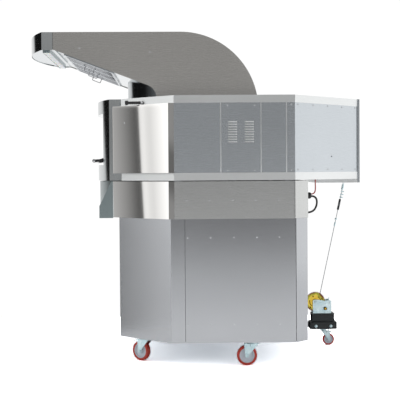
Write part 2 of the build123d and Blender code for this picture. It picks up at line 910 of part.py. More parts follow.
# Control panel on the left stile, with one rotary switch
stile_x = (body_front_half + lining_half) / 2
stile_y = bow_y(stile_x, body_front_half, portal_edge_y, portal_bow)
bow_radius = (body_front_half**2 + portal_bow**2) / (2 * portal_bow)
panel_turn = degrees(asin(stile_x / bow_radius))
panel_z = (deck_z + mouth_top_z) / 2
panel_spot = Location((-stile_x, stile_y, panel_z), (0, 0, -panel_turn))
panel_gap = 0.1
with BuildPart() as control_panel:
    with Locations(panel_spot * Location((0, -panel_depth / 2 - panel_gap, 0))):
        Box(panel_width, panel_depth, control_height)
    knob_spot = panel_spot * Location((0, -panel_depth - panel_gap, knob_drop), (90, 0, 0))
    with Locations(knob_spot):
        Cylinder(
            spindle_radius + running_gap,
            panel_depth + 2 * knob_height,
            mode=Mode.SUBTRACT,
        )
control_panel.part.label = "control_panel"
export_step(control_panel.part, "parts/control_panel.step")

with BuildPart() as power_knob:
    with Locations(knob_spot * Location((0, 0, knob_height / 2 + 0.5))):
        Cylinder(knob_radius, knob_height)
    with Locations(knob_spot * Location((0, 0, knob_height + knob_grip / 2))):
        Box(2 * knob_radius - 2, knob_grip, knob_grip)
    with Locations(knob_spot * Location((0, 0, -panel_depth / 2 + 1))):
        Cylinder(spindle_radius, panel_depth)
power_knob.part.label = "power_knob"
export_step(power_knob.part, "parts/power_knob.step")

# Damper: a rod with a grip through the rim of the right-hand front corner
grip_end_y = damper_y - damper_grip_radius - seam
with BuildPart() as damper_rod:
    with Locations(Location((damper_x, grip_end_y - damper_grip / 2, damper_z), (90, 0, 0))):
        Cylinder(damper_grip_radius, damper_grip)
    with Locations(Location((damper_x, grip_end_y + damper_rod_length / 2, damper_z), (90, 0, 0))):
        Cylinder(damper_rod_radius, damper_rod_length)
damper_rod.part.label = "damper_rod"
export_step(damper_rod.part, "parts/damper_rod.step")

# Hood: side plates, top with the curved rear, bowed fascia, underside and neck
slope = radians(hood_slope)
bend_z = hood_lip_z
foot_corner_z = bend_z - (hood_foot_y - hood_bend_y) * tan(slope)
foot_radius = (foot_corner_z - body_top_z) / tan((pi / 2 - slope) / 2)
back_centre = (hood_back_y, hood_top_z - hood_back_radius)


def foot_point(angle, extra):
    """Point of the rounded foot of the hood's side, seen as (y, z)."""
    radius = foot_radius - extra
    return (
        hood_foot_y - foot_radius + radius * cos(angle),
        body_top_z + radius * sin(angle),
    )


def back_point(angle, inset):
    """Point of the hood's curved rear, seen as (y, z)."""
    radius = hood_back_radius - inset
    return (back_centre[0] + radius * sin(angle), back_centre[1] + radius * cos(angle))


def back_end(inset):
    """Angle at which the curved rear meets the top of the body."""
    return acos((body_top_z - back_centre[1]) / (hood_back_radius - inset))


with BuildPart() as hood_sides:
    with BuildSketch(Plane.YZ.offset(hood_half - sheet)) as side_plan:
        with BuildLine():
            Polyline(
                (hood_back_y, hood_top_z),
                (hood_seam_y + seam, hood_top_z),
                (hood_seam_y + seam, hood_lip_z),
                (hood_bend_y, hood_lip_z),
                foot_point(pi / 2 - slope, 0),
            )
            ThreePointArc(
                foot_point(pi / 2 - slope, 0),
                foot_point((pi / 2 - slope) / 2, 0),
                foot_point(0, 0),
            )
            Line(foot_point(0, 0), back_point(back_end(0), 0))
            ThreePointArc(
                back_point(back_end(0), 0), back_point(back_end(0) / 2, 0), back_point(0, 0)
            )
        make_face()
    extrude(side_plan.sketch, amount=sheet)
    mirror(about=Plane.YZ)
hood_sides.part.label = "hood_sides"
export_step(hood_sides.part, "parts/hood_sides.step")

skin_half = hood_half - sheet
with BuildPart() as hood_skin:
    top = [
        (skin_half, hood_corner_y + sheet),
        (skin_half, hood_back_y - bend_gap),
        (-skin_half, hood_back_y - bend_gap),
        (-skin_half, hood_corner_y + sheet),
    ]
    add_bowed_plate(top, hood_corner_y - hood_bow + sheet, hood_top_z - sheet, sheet)
    with BuildSketch(Plane.YZ.offset(-skin_half)) as back_plan:
        with BuildLine():
            ThreePointArc(
                back_point(0, 0), back_point(back_end(0) / 2, 0), back_point(back_end(0), 0)
            )
            Line(back_point(back_end(0), 0), back_point(back_end(sheet), sheet))
            ThreePointArc(
                back_point(back_end(sheet), sheet),
                back_point(back_end(sheet) / 2, sheet),
                back_point(0, sheet),
            )
            Line(back_point(0, sheet), back_point(0, 0))
        make_face()
    extrude(back_plan.sketch, amount=2 * skin_half)
hood_skin.part.label = "hood_skin"
export_step(hood_skin.part, "parts/hood_skin.step")

fascia_height = hood_top_z - hood_lip_z
with BuildPart() as hood_fascia:
    add_bowed_sheet(hood_half, hood_corner_y, hood_bow, hood_lip_z, fascia_height)
    for side in (-1, 1):
        add_box(
            (side * skin_half, hood_corner_y + sheet + bend_gap, hood_lip_z),
            (side * hood_half, hood_seam_y, hood_top_z),
        )
hood_fascia.part.label = "hood_fascia"
export_step(hood_fascia.part, "parts/hood_fascia.step")

# The filters lie along the slope: x across, y down the slope, z up out of it
slope_axis = (0, cos(slope), -sin(slope))
slope_up = (0, sin(slope), cos(slope))
filter_mid_y = hood_bend_y + filter_offset * cos(slope)
filter_mid_z = hood_lip_z + lip_inset - filter_offset * sin(slope)
filter_spots = {}
for name, x in (("left", -filter_pitch), ("mid", 0), ("right", filter_pitch)):
    filter_spots[name] = Plane((x, filter_mid_y, filter_mid_z), (1, 0, 0), slope_up).location
slope_rise = sheet / cos(slope)
slope_end_y = foot_point(pi / 2 - slope, 0)[0]


def slope_z(y):
    """Height of the lower face of the sloping underside."""
    return hood_lip_z + lip_inset - (y - hood_bend_y) * tan(slope)


# The neck carries the front of the hood and is cut off along the slope
with BuildPart() as hood_underside:
    neck_top = slope_z(hood_foot_y - neck_bow) + seam
    add_bowed_sheet(skin_half, hood_foot_y, neck_bow, body_top_z, neck_top - body_top_z)
    over = [
        (hood_foot_y - 2 * neck_bow, slope_z(hood_foot_y - 2 * neck_bow) - bend_gap),
        (hood_foot_y + neck_bow, slope_z(hood_foot_y + neck_bow) - bend_gap),
        (hood_foot_y + neck_bow, hood_top_z),
        (hood_foot_y - 2 * neck_bow, hood_top_z),
    ]
    add_side_profile(over, -hood_half, hood_half, mode=Mode.SUBTRACT)
    slope_sheet = [
        (hood_bend_y + bend_gap, slope_z(hood_bend_y)),
        (slope_end_y, slope_z(slope_end_y)),
        (slope_end_y, slope_z(slope_end_y) + slope_rise),
        (hood_bend_y + bend_gap, slope_z(hood_bend_y) + slope_rise),
    ]
    add_side_profile(slope_sheet, -skin_half, skin_half)
    for spot in filter_spots.values():
        with Locations(spot):
            Box(
                filter_width + seam,
                filter_length + seam,
                4 * filter_depth,
                mode=Mode.SUBTRACT,
            )
    front = [
        (skin_half, hood_corner_y + sheet + seam),
        (skin_half, hood_bend_y),
        (-skin_half, hood_bend_y),
        (-skin_half, hood_corner_y + sheet + seam),
    ]
    front_tip_y = hood_corner_y - hood_bow + sheet + seam
    add_bowed_plate(front, front_tip_y, hood_lip_z + lip_inset, sheet)
hood_underside.part.label = "hood_underside"
export_step(hood_underside.part, "parts/hood_underside.step")

# Filters: a frame round a mesh, with two lugs for the wire bail
mesh_low = -filter_depth / 2
foot_out = bail_width / 2 + lug_gap
with BuildPart() as grease_filters:
    for spot in filter_spots.values():
        with Locations(spot):
            Box(filter_width, filter_length, filter_depth)
            with Locations((0, 0, mesh_thickness)):
                Box(
                    filter_width - 2 * filter_rail,
                    filter_length - 2 * filter_rail,
                    filter_depth,
                    mode=Mode.SUBTRACT,
                )
            with GridLocations(mesh_pitch, mesh_pitch, mesh_columns, mesh_rows):
                Box(
                    mesh_hole,
                    mesh_hole,
                    4 * filter_depth,
                    rotation=(0, 0, 45),
                    mode=Mode.SUBTRACT,
                )
            for side in (-1, 1):
                with Locations((0, side * (foot_out + lug_width / 2), mesh_low - lug_drop / 2)):
                    Box(2 * lug_width, lug_width, lug_drop)
                with Locations(
                    Location((0, side * foot_out, mesh_low - lug_drop + lug_edge), (90, 0, 0))
                ):
                    Cylinder(bail_wire + running_gap, 4 * lug_width, mode=Mode.SUBTRACT)
grease_filters.part.label = "grease_filters"
export_step(grease_filters.part, "parts/grease_filters.step")

bail_z = mesh_low - lug_drop + lug_edge
foot_end = foot_out + lug_width - 0.5
leg = bail_width / 2 - bail_wire
for name, spot in filter_spots.items():
    with BuildPart() as filter_bail:
        frame_plane = Plane(spot)
        with BuildLine(frame_plane) as path:
            FilletPolyline(
                (0, -foot_end, bail_z),
                (0, -leg, bail_z),
                (0, -leg, bail_z - bail_drop),
                (0, leg, bail_z - bail_drop),
                (0, leg, bail_z),
                (0, foot_end, bail_z),
                radius=bail_bend,
            )
        with BuildSketch(Plane(origin=path.line @ 0, z_dir=path.line % 0)):
            Circle(bail_wire)
        sweep(path=path.line)
    filter_bail.part.label = f"filter_bail_{name}"
    export_step(filter_bail.part, f"parts/filter_bail_{name}.step")

with BuildPart() as hood_lamp:
    with Locations((0, lamp_y, hood_lip_z + lip_inset - lamp_depth / 2)):
        Box(lamp_length, lamp_width, lamp_depth)
hood_lamp.part.label = "hood_lamp"
export_step(hood_lamp.part, "parts/hood_lamp.step")

# Casters. Each has its own axes: x along the axle, the wheel trailing towards -y.
caster_spots = {
    "fl": Location((-front_caster_x, front_caster_y, floor_z), (0, 0, -front_caster_turn)),
    "fr": Location((front_caster_x, front_caster_y, floor_z), (0, 0, -front_caster_turn)),
    "rl": Location((-rear_caster_x, rear_caster_y, floor_z)),
    "rr": Location((rear_caster_x, rear_caster_y, floor_z)),
}
winch_spot = Location((0, winch_caster_y, winch_plate_z), (0, 0, 180))
ring_drop = 3.5
head_gap = 0.5
head_height = 10
crown = 3
crown_drop = plate + ring_drop + head_gap + head_height + crown


def add_top_plate(spot, width, depth, ring_radius):
    """Fixed plate of a caster with the race of its swivel, bored for the kingpin."""
    plate_spot = Location(spot.position)
    with Locations(plate_spot * Location((0, 0, -plate / 2))):
        Box(width, depth, plate)
    with Locations(plate_spot * Location((0, 0, -plate - ring_drop / 2))):
        Cylinder(ring_radius, ring_drop)
    with Locations(plate_spot):
        Cylinder(kingpin_radius + running_gap, 4 * plate, mode=Mode.SUBTRACT)


def add_fork(spot, radius, tread, trail, ring_radius):
    """Swivel head, crown, two legs with the brake's pin holes, axle and kingpin."""
    gap = tread / 2 + hub_clear
    axle_z = radius - spot.position.Z
    crown_low = -crown_drop
    nose = -trail - pedal_offset - pedal_ear
    heel = ring_radius * 0.8
    with Locations(spot * Location((0, 0, -plate - ring_drop - head_gap - head_height / 2))):
        Cylinder(ring_radius - 4, head_height)
    with Locations(spot * Location((0, 0, crown_low / 2))):
        Cylinder(kingpin_radius, -crown_low - 2)
    with Locations(spot * Location((0, (heel - trail) / 2, crown_low + crown / 2))):
        Box(2 * (gap + leg_thickness), heel + trail, crown)
    leg = [
        (heel, crown_low + crown),
        (nose, crown_low + crown),
        (nose, crown_low - pedal_ear),
        (-trail - axle_boss, axle_z),
        (-trail + axle_boss, axle_z),
    ]
    for side in (-1, 1):
        plane = Plane(spot * Location((side * gap, 0, 0)))
        leg_plane = Plane(plane.origin, plane.y_dir, plane.x_dir)
        with BuildSketch(leg_plane) as leg_plan:
            with BuildLine():
                Polyline(*leg, close=True)
            make_face()
            with Locations((-trail, axle_z)):
                Circle(axle_boss)
            with Locations((-trail - pedal_offset, crown_low - crown)):
                Circle(pedal_pin + running_gap, mode=Mode.SUBTRACT)
        extrude(leg_plan.sketch, amount=side * leg_thickness)
    with Locations(spot * Location((0, -trail, axle_z), (0, 90, 0))):
        Cylinder(axle_radius, 2 * (gap + leg_thickness) + 8)


def add_wheel(spot, radius, tread, trail):
    """Wheel with a bonded tread, a recessed web and a bored hub."""
    with Locations(spot * Location((0, -trail, radius - spot.position.Z), (0, 90, 0))):
        Cylinder(radius, tread)
        for side in (-1, 1):
            with Locations((0, 0, side * tread / 2)):
                Cylinder(radius * 0.72, tread / 3, mode=Mode.SUBTRACT)
        Cylinder(radius * 0.3, tread + 2 * hub_proud)
        Cylinder(axle_radius + running_gap, 2 * tread, mode=Mode.SUBTRACT)


def add_pedal(spot, tread, trail, reach):
    """Brake pedal turning on a pin between the fork's legs."""
    pin_z = -crown_drop - crown
    pin_y = -trail - pedal_offset
    blade = [
        (pin_y + pedal_pin + 1, pin_z - pedal_pin),
        (pin_y + pedal_pin + 1, pin_z + pedal_pin),
        (pin_y - pedal_pin, pin_z + pedal_pin),
        (pin_y - reach, pin_z - reach * 0.22),
        (pin_y - reach, pin_z - reach * 0.22 - 3),
        (pin_y - pedal_pin, pin_z - pedal_pin),
    ]
    plane = Plane(spot)
    with BuildSketch(Plane(plane.origin, plane.y_dir, plane.x_dir)) as blade_plan:
        with BuildLine():
            Polyline(*blade, close=True)
        make_face()
    extrude(blade_plan.sketch, amount=tread / 2 - 1, both=True)
    with Locations(spot * Location((0, pin_y, pin_z), (0, 90, 0))):
        Cylinder(pedal_pin, tread + 2 * hub_clear + 2 * leg_thickness)


with BuildPart() as caster_plates:
    for spot in caster_spots.values():
        add_top_plate(spot, caster_plate_x, caster_plate_y, caster_ring)
    add_top_plate(winch_spot, winch_caster_plate, winch_caster_plate, winch_caster_ring)
caster_plates.part.label = "caster_plates"
export_step(caster_plates.part, "parts/caster_plates.step")

for name, spot in caster_spots.items():
    with BuildPart() as caster_fork:
        add_fork(spot, caster_radius, caster_tread, caster_trail, caster_ring)
    caster_fork.part.label = f"caster_fork_{name}"
    export_step(caster_fork.part, f"parts/caster_fork_{name}.step")
    with BuildPart() as caster_wheel:
        add_wheel(spot, caster_radius, caster_tread, caster_trail)
    caster_wheel.part.label = f"caster_wheel_{name}"
    export_step(caster_wheel.part, f"parts/caster_wheel_{name}.step")
    if name in ("fl", "fr"):
        with BuildPart() as brake_pedal:
            add_pedal(spot, caster_tread, caster_trail, pedal_reach)
        brake_pedal.part.label = f"brake_pedal_{name}"
        export_step(brake_pedal.part, f"parts/brake_pedal_{name}.step")

with BuildPart() as winch_caster_fork:
    add_fork(
        winch_spot, winch_caster_radius, winch_caster_tread, winch_caster_trail, winch_caster_ring
    )
winch_caster_fork.part.label = "winch_caster_fork"
export_step(winch_caster_fork.part, "parts/winch_caster_fork.step")

with BuildPart() as winch_caster_wheel:
    add_wheel(winch_spot, winch_caster_radius, winch_caster_tread, winch_caster_trail)
winch_caster_wheel.part.label = "winch_caster_wheel"
export_step(winch_caster_wheel.part, "parts/winch_caster_wheel.step")

with BuildPart() as winch_brake_pedal:
    add_pedal(winch_spot, winch_caster_tread, winch_caster_trail, pedal_reach * 2 / 3)
winch_brake_pedal.part.label = "winch_brake_pedal"
export_step(winch_brake_pedal.part, "parts/winch_brake_pedal.step")

# Winch bracket: an arm from the base, a lower box with two bolts and an upper box
base_face_y = base_rear_y - panel_step
with BuildPart() as winch_bracket:
    add_box(
        (-bracket_half, bracket_front_y, winch_plate_z),
        (bracket_half, bracket_rear_y, bracket_step_z),
    )
    add_box(
        (-bracket_half + plate, bracket_front_y - seam, winch_plate_z + plate),
        (bracket_half - plate, bracket_rear_y + seam, bracket_step_z - plate),
        mode=Mode.SUBTRACT,
    )
    add_box(
        (-block_half, block_front_y, bracket_step_z + bend_gap),
        (block_half, block_rear_y, bracket_top_z),
    )
    add_box(
        (-block_half + plate, block_front_y - seam, bracket_step_z + plate),
        (block_half - plate, block_rear_y + seam, bracket_top_z - plate),
        mode=Mode.SUBTRACT,
    )
    add_box(
        (-bracket_arm_half, base_face_y + bracket_foot + bend_gap, winch_plate_z + 10),
        (bracket_arm_half, bracket_front_y - bend_gap, bracket_step_z - plate),
    )
    add_box(
        (-bracket_half + plate, base_face_y, skirt_z),
        (bracket_half - plate, base_face_y + bracket_foot, bracket_top_z),
    )
    add_box(
        (-bracket_arm_half, base_face_y + bend_gap, winch_plate_z + 10),
        (bracket_arm_half, base_face_y + bracket_foot, skirt_z - bend_gap),
    )
winch_bracket.part.label = "winch_bracket"
export_step(winch_bracket.part, "parts/winch_bracket.step")

# Winch: two side plates, a drum with its gear, a pinion with its ratchet, and a pawl
centre_distance = gear_module * (gear_teeth + pinion_teeth) / 2
pinion_y = drum_y + centre_distance * cos(radians(pinion_drop))
pinion_z = drum_z - centre_distance * sin(radians(pinion_drop))
mesh_angle = -radians(pinion_drop)
plate_in = winch_half - winch_plate
winch_outline = [
    (drum_y - 17, bracket_top_z),
    (winch_plate_rear_y, bracket_top_z),
    (winch_plate_rear_y, drum_z + 5),
    (winch_plate_rear_y - 9, drum_z + 10),
    (winch_plate_rear_y - 44, drum_z + 6),
    (drum_y + 20, drum_z + 14),
    (drum_y - 11, drum_z + 14),
    (drum_y - 17, drum_z + 8),
]
with BuildPart() as winch_frame:
    add_side_profile(winch_outline, plate_in, winch_half)
    add_side_profile(winch_outline, -winch_half, -plate_in)
    with Locations(Location((0, drum_y, drum_z), (0, 90, 0))):
        Cylinder(drum_axle + running_gap, 4 * winch_half, mode=Mode.SUBTRACT)
    with Locations(Location((0, pinion_y, pinion_z), (0, 90, 0))):
        Cylinder(pinion_shaft + running_gap, 4 * winch_half, mode=Mode.SUBTRACT)
    with Locations(Location((-winch_half, pawl_y, pawl_z), (0, 90, 0))):
        Cylinder(pawl_pin + running_gap, winch_half, mode=Mode.SUBTRACT)
winch_frame.part.label = "winch_frame"
export_step(winch_frame.part, "parts/winch_frame.step")

with BuildPart() as winch_drum:
    with BuildSketch(Plane((gear_x - gear_width / 2, drum_y, drum_z), (0, 1, 0), (1, 0, 0))):
        with BuildLine():
            Polyline(*gear_outline(gear_teeth, mesh_angle), close=True)
        make_face()
    extrude(amount=gear_width)
    with Locations(Location((0, drum_y, drum_z), (0, 90, 0))):
        Cylinder(drum_core, 2 * (gear_x - gear_width / 2))
        Cylinder(drum_axle, 2 * winch_half + 4)
    with Locations(Location((-drum_flange_x, drum_y, drum_z), (0, 90, 0))):
        Cylinder(drum_flange, winch_plate)
winch_drum.part.label = "winch_drum"
export_step(winch_drum.part, "parts/winch_drum.step")

with BuildPart() as winch_pinion:
    pinion_turn = mesh_angle + pi + pi / pinion_teeth
    with BuildSketch(
        Plane((gear_x - gear_width / 2 - 0.5, pinion_y, pinion_z), (0, 1, 0), (1, 0, 0))
    ):
        with BuildLine():
            Polyline(*gear_outline(pinion_teeth, pinion_turn), close=True)
        make_face()
    extrude(amount=gear_width + 1)
    with BuildSketch(Plane((-ratchet_x, pinion_y, pinion_z), (0, 1, 0), (1, 0, 0))):
        with BuildLine():
            Polyline(*ratchet_outline(ratchet_teeth, ratchet_radius, ratchet_depth), close=True)
        make_face()
    extrude(amount=gear_width)
    with Locations(Location((pinion_end / 2, pinion_y, pinion_z), (0, 90, 0))):
        Cylinder(pinion_shaft, 2 * winch_half + 8 + pinion_end)
    with Locations(Location((winch_half + pinion_end / 2 + 1, pinion_y, pinion_z), (0, 90, 0))):
        Cylinder(pinion_nut, pinion_end / 2)
winch_pinion.part.label = "winch_pinion"
export_step(winch_pinion.part, "parts/winch_pinion.step")

# The pawl is stored just clear of the ratchet's teeth
reach_angle = radians(pawl_angle)
pawl_tip = (
    pinion_y + (ratchet_radius + pawl_clear) * cos(reach_angle),
    pinion_z + (ratchet_radius + pawl_clear) * sin(reach_angle),
)
with BuildPart() as winch_pawl:
    pawl = [
        (pawl_y - 2, pawl_z + 6),
        pawl_tip,
        (pawl_tip[0] + 4, pawl_tip[1] - 1),
        (pawl_y + 3, pawl_z - 6),
        (pawl_y + 7, pawl_z + 2),
        (pawl_y + lever_y + 3, pawl_z + lever_z),
        (pawl_y + lever_y, pawl_z + lever_z),
        (pawl_y + 1, pawl_z + 7),
    ]
    add_side_profile(pawl, -ratchet_x, -ratchet_x + gear_width - 1)
    with Locations(Location((-ratchet_x - 1, pawl_y, pawl_z), (0, 90, 0))):
        Cylinder(pawl_pin, 2 * (winch_half - ratchet_x) + 2)
winch_pawl.part.label = "winch_pawl"
export_step(winch_pawl.part, "parts/winch_pawl.step")

# Rope from the wound drum up to an eye under the pan, with its fittings
rope_line = drum_core + rope_radius + rope_clear
eye_z = pan_z - eye_drop
reach_y = hook_y - drum_y
reach_z = eye_z - drum_z
lean = acos(rope_line / sqrt(reach_y**2 + reach_z**2)) - atan2(reach_z, reach_y)
rope_low = (drum_y + rope_line * cos(lean), drum_z - rope_line * sin(lean))
rope_length = sqrt(reach_y**2 + reach_z**2 - rope_line**2)
rope_spot = Location((0, rope_low[0], rope_low[1]), (-degrees(lean), 0, 0))
with BuildPart() as winch_rope:
    with Locations(rope_spot * Location((0, 0, rope_length / 2))):
        Cylinder(rope_radius, rope_length)
winch_rope.part.label = "winch_rope"
export_step(winch_rope.part, "parts/winch_rope.step")

with BuildPart() as rope_fittings:
    for low, high, radius in rope_sleeves:
        with Locations(rope_spot * Location((0, 0, rope_length - (low + high) / 2))):
            Cylinder(radius, high - low)
    with Locations(rope_spot * Location((0, 0, rope_length / 2))):
        Cylinder(rope_radius, 2 * rope_length, mode=Mode.SUBTRACT)
    add_box(
        (-eye_half, hook_y - eye_half, eye_z + 1), (eye_half, hook_y + eye_half, pan_z)
    )
rope_fittings.part.label = "rope_fittings"
export_step(rope_fittings.part, "parts/rope_fittings.step")

# Cable gland on the rear of the band, a lead looping back in and one going up
band_face_y = band_rear_y - panel_step
gland_end_y = band_face_y + gland_length
with BuildPart() as cable_gland:
    with Locations(Location((gland_x, (band_face_y + gland_end_y) / 2, gland_z), (90, 0, 0))):
        Cylinder(gland_radius, gland_length)
cable_gland.part.label = "cable_gland"
export_step(cable_gland.part, "parts/cable_gland.step")

with BuildPart() as black_lead:
    with BuildLine() as path:
        Spline(
            (gland_x, gland_end_y, gland_z - 4),
            (gland_x, gland_end_y + black_loop, gland_z - 50),
            (gland_x, band_face_y, gland_z - black_drop),
            tangents=((0, 1, 0), (0, -1, 0)),
        )
    with BuildSketch(Plane(origin=path.line @ 0, z_dir=path.line % 0)):
        Circle(black_lead_radius)
    sweep(path=path.line)
black_lead.part.label = "black_lead"
export_step(black_lead.part, "parts/black_lead.step")

with BuildPart() as red_lead:
    with BuildLine() as path:
        Spline(
            (gland_x, gland_end_y, gland_z + 9),
            (gland_x, red_lead_y, gland_z + 40),
            (gland_x, red_lead_y, body_z),
            tangents=((0, 1, 0), (0, 0, 1)),
        )
    with BuildSketch(Plane(origin=path.line @ 0, z_dir=path.line % 0)):
        Circle(red_lead_radius)
    sweep(path=path.line)
red_lead.part.label = "red_lead"
export_step(red_lead.part, "parts/red_lead.step")
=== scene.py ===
import json
import math

import bpy
from mathutils import Matrix, Vector


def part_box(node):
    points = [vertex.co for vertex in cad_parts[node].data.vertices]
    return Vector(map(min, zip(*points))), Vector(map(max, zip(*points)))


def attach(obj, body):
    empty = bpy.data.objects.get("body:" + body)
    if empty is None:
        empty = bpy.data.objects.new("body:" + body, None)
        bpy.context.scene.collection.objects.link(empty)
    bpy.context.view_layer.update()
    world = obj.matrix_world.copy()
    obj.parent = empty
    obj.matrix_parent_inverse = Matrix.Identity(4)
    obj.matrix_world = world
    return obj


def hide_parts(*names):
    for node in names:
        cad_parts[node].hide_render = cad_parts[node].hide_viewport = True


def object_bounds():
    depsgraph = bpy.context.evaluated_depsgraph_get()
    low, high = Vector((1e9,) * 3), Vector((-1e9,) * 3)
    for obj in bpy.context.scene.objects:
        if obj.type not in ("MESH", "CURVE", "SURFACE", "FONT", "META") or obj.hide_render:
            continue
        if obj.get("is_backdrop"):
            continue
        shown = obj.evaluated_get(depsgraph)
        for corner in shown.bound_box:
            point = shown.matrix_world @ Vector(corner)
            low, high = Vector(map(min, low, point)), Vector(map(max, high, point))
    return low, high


# A rotary-deck pizza oven on casters, seen from its right-hand side. All lengths are in
# metres, in the frame of the CAD: X is across, the baking mouth faces -Y, Z is up.
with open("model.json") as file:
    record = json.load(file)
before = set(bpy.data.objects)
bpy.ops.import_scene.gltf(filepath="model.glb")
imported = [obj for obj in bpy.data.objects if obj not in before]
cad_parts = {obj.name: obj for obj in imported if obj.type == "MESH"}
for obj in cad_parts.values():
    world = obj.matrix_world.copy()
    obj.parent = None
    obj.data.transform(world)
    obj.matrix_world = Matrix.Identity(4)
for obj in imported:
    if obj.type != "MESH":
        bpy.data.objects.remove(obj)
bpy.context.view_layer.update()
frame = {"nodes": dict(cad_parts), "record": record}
nodes = frame["nodes"]
UP = Vector((0, 0, 1))


# Finishes
def linear(colour):
    """Linear RGBA of an sRGB hex colour."""
    parts = [int(colour[i : i + 2], 16) / 255 for i in (0, 2, 4)]
    return [c / 12.92 if c <= 0.04045 else ((c + 0.055) / 1.055) ** 2.4 for c in parts] + [1]


def add_node(tree, kind, settings=(), **links):
    """Adds a shader node with its settings, and links or sets its inputs by name or number.

    A ramp's stops are positions with a hex colour or a grey. A node given to an input stands for its
    first output.
    """
    node = tree.nodes.new("ShaderNode" + kind)
    for name, value in dict(settings).items():
        if name == "stops":
            stops = [(at, linear(c) if isinstance(c, str) else (c, c, c, 1)) for at, c in value]
            for position, colour in stops[1:-1]:
                node.color_ramp.elements.new(position).color = colour
            for stop, (position, colour) in zip((0, -1), (stops[0], stops[-1])):
                node.color_ramp.elements[stop].position = position
                node.color_ramp.elements[stop].color = colour
        else:
            setattr(node, name, value)
    for name, value in links.items():
        socket = node.inputs[int(name[1:]) if name[1:].isdigit() else name.replace("_", " ")]
        if isinstance(value, bpy.types.Node):
            value = value.outputs[0]
        if isinstance(value, bpy.types.NodeSocket):
            tree.links.new(value, socket)
        else:
            socket.default_value = value
    return node


def new_finish(name, colour, **sockets):
    """Material with a Principled shader; returns the material, its tree and the shader."""
    material = bpy.data.materials.new(name)
    material.use_nodes = True
    shader = material.node_tree.nodes["Principled BSDF"]
    shader.inputs["Base Color"].default_value = linear(colour)
    for socket, value in sockets.items():
        shader.inputs[socket.replace("_", " ")].default_value = value
    return material, material.node_tree, shader


def wander(tree, scale, low, high, detail=3.0, stretch=(1, 1, 1)):
    """Number that wanders between low and high over a piece, from a noise on its own axes."""
    place = add_node(tree, "TexCoord")
    drawn = add_node(tree, "Mapping", Vector=place.outputs["Object"], Scale=stretch)
    noise = add_node(tree, "TexNoise", Vector=drawn, Scale=scale, Detail=detail)
    return add_node(tree, "MapRange", Value=noise, From_Min=0.3, From_Max=0.7, To_Min=low, To_Max=high)


def cloudy(tree, shader, first, second, scale, detail=3.0):
    """Base colour that drifts between two hex colours."""
    share = wander(tree, scale, 0, 1, detail)
    drift = add_node(tree, "Mix", {"data_type": "RGBA"}, _0=share, _6=linear(first), _7=linear(second))
    tree.links.new(drift.outputs[2], shader.inputs["Base Color"])


def grained(tree, shader, strength, distance, scale, detail=3.0, stretch=(1, 1, 1)):
    """Surface with a grain that catches the light."""
    height = wander(tree, scale, 0, 1, detail, stretch)
    grain = add_node(tree, "Bump", Height=height, Strength=strength, Distance=distance)
    tree.links.new(grain.outputs[0], shader.inputs["Normal"])


def surface(name, colour, gloss=(), grain=(), clouds=(), **sockets):
    """Finish whose gloss wanders, with a grain and clouds of colour, each as its function takes them."""
    material, tree, shader = new_finish(name, colour, **sockets)
    if clouds:
        cloudy(tree, shader, *clouds)
    if gloss:
        tree.links.new(wander(tree, *gloss).outputs[0], shader.inputs["Roughness"])
    if grain:
        grained(tree, shader, *grain)
    return material


def brushed_finish(name, colour, roughness, spread=0.6, grain=(2, 2, 330)):
    """Brushed steel: fine level lines draw its reflections out upright, and rollers leave clouds."""
    material, tree, shader = new_finish(name, colour, Metallic=1.0, Anisotropic=spread)
    lines = wander(tree, 3, roughness - 0.006, roughness + 0.006, 6, grain)
    tree.links.new(lines.outputs[0], shader.inputs["Roughness"])
    darker = "%02X%02X%02X" % tuple(int(int(colour[i : i + 2], 16) * 0.97) for i in (0, 2, 4))
    cloudy(tree, shader, darker, colour, 1.6, 2)
    grained(tree, shader, 0.0025, 0.0003, 3, 4, grain)
    upright = add_node(tree, "CombineXYZ", X=0.02, Y=0.03, Z=1.0)
    tree.links.new(upright.outputs[0], shader.inputs["Tangent"])
    return material


def chromated(name, film, roughness, where):
    """Yellow chromated zinc, coloured by how thick its film is; where(tree, shader) gives it as a share."""
    material, tree, shader = new_finish(name, "C7A83A", Metallic=1.0, Roughness=roughness)
    drift = add_node(tree, "ValToRGB", {"stops": film}, Fac=where(tree, shader))
    tree.links.new(drift.outputs[0], shader.inputs["Base Color"])
    return material


def mottled(tree, shader):
    """Film that drifts over the piece, and its gloss with it."""
    tree.links.new(wander(tree, 60, 0.24, 0.38).outputs[0], shader.inputs["Roughness"])
    return wander(tree, 26, 0, 1, 2.0)


def dried_outwards(tree, shader):
    """Film that thickens from the axle to the rim of the big gear, where it dried last."""
    place = add_node(tree, "TexCoord")
    from_axle = add_node(
        tree, "VectorMath", {"operation": "MULTIPLY_ADD"}, _0=place.outputs["Object"], _1=(0, 1, 1), _2=-DRUM
    )
    away = add_node(tree, "VectorMath", {"operation": "LENGTH"}, _0=from_axle).outputs["Value"]
    drift = wander(tree, 22, -0.16, 0.08, 2.0)
    return add_node(tree, "Math", {"operation": "MULTIPLY_ADD"}, _0=away, _1=1 / GEAR_REACH, _2=drift)


# Axles of the winch's drum and pinion, and the radius of the big gear
DRUM, PINION, GEAR_REACH = Vector((0, 0.820, 0.300)), Vector((0, 0.88698, 0.25396)), 0.066

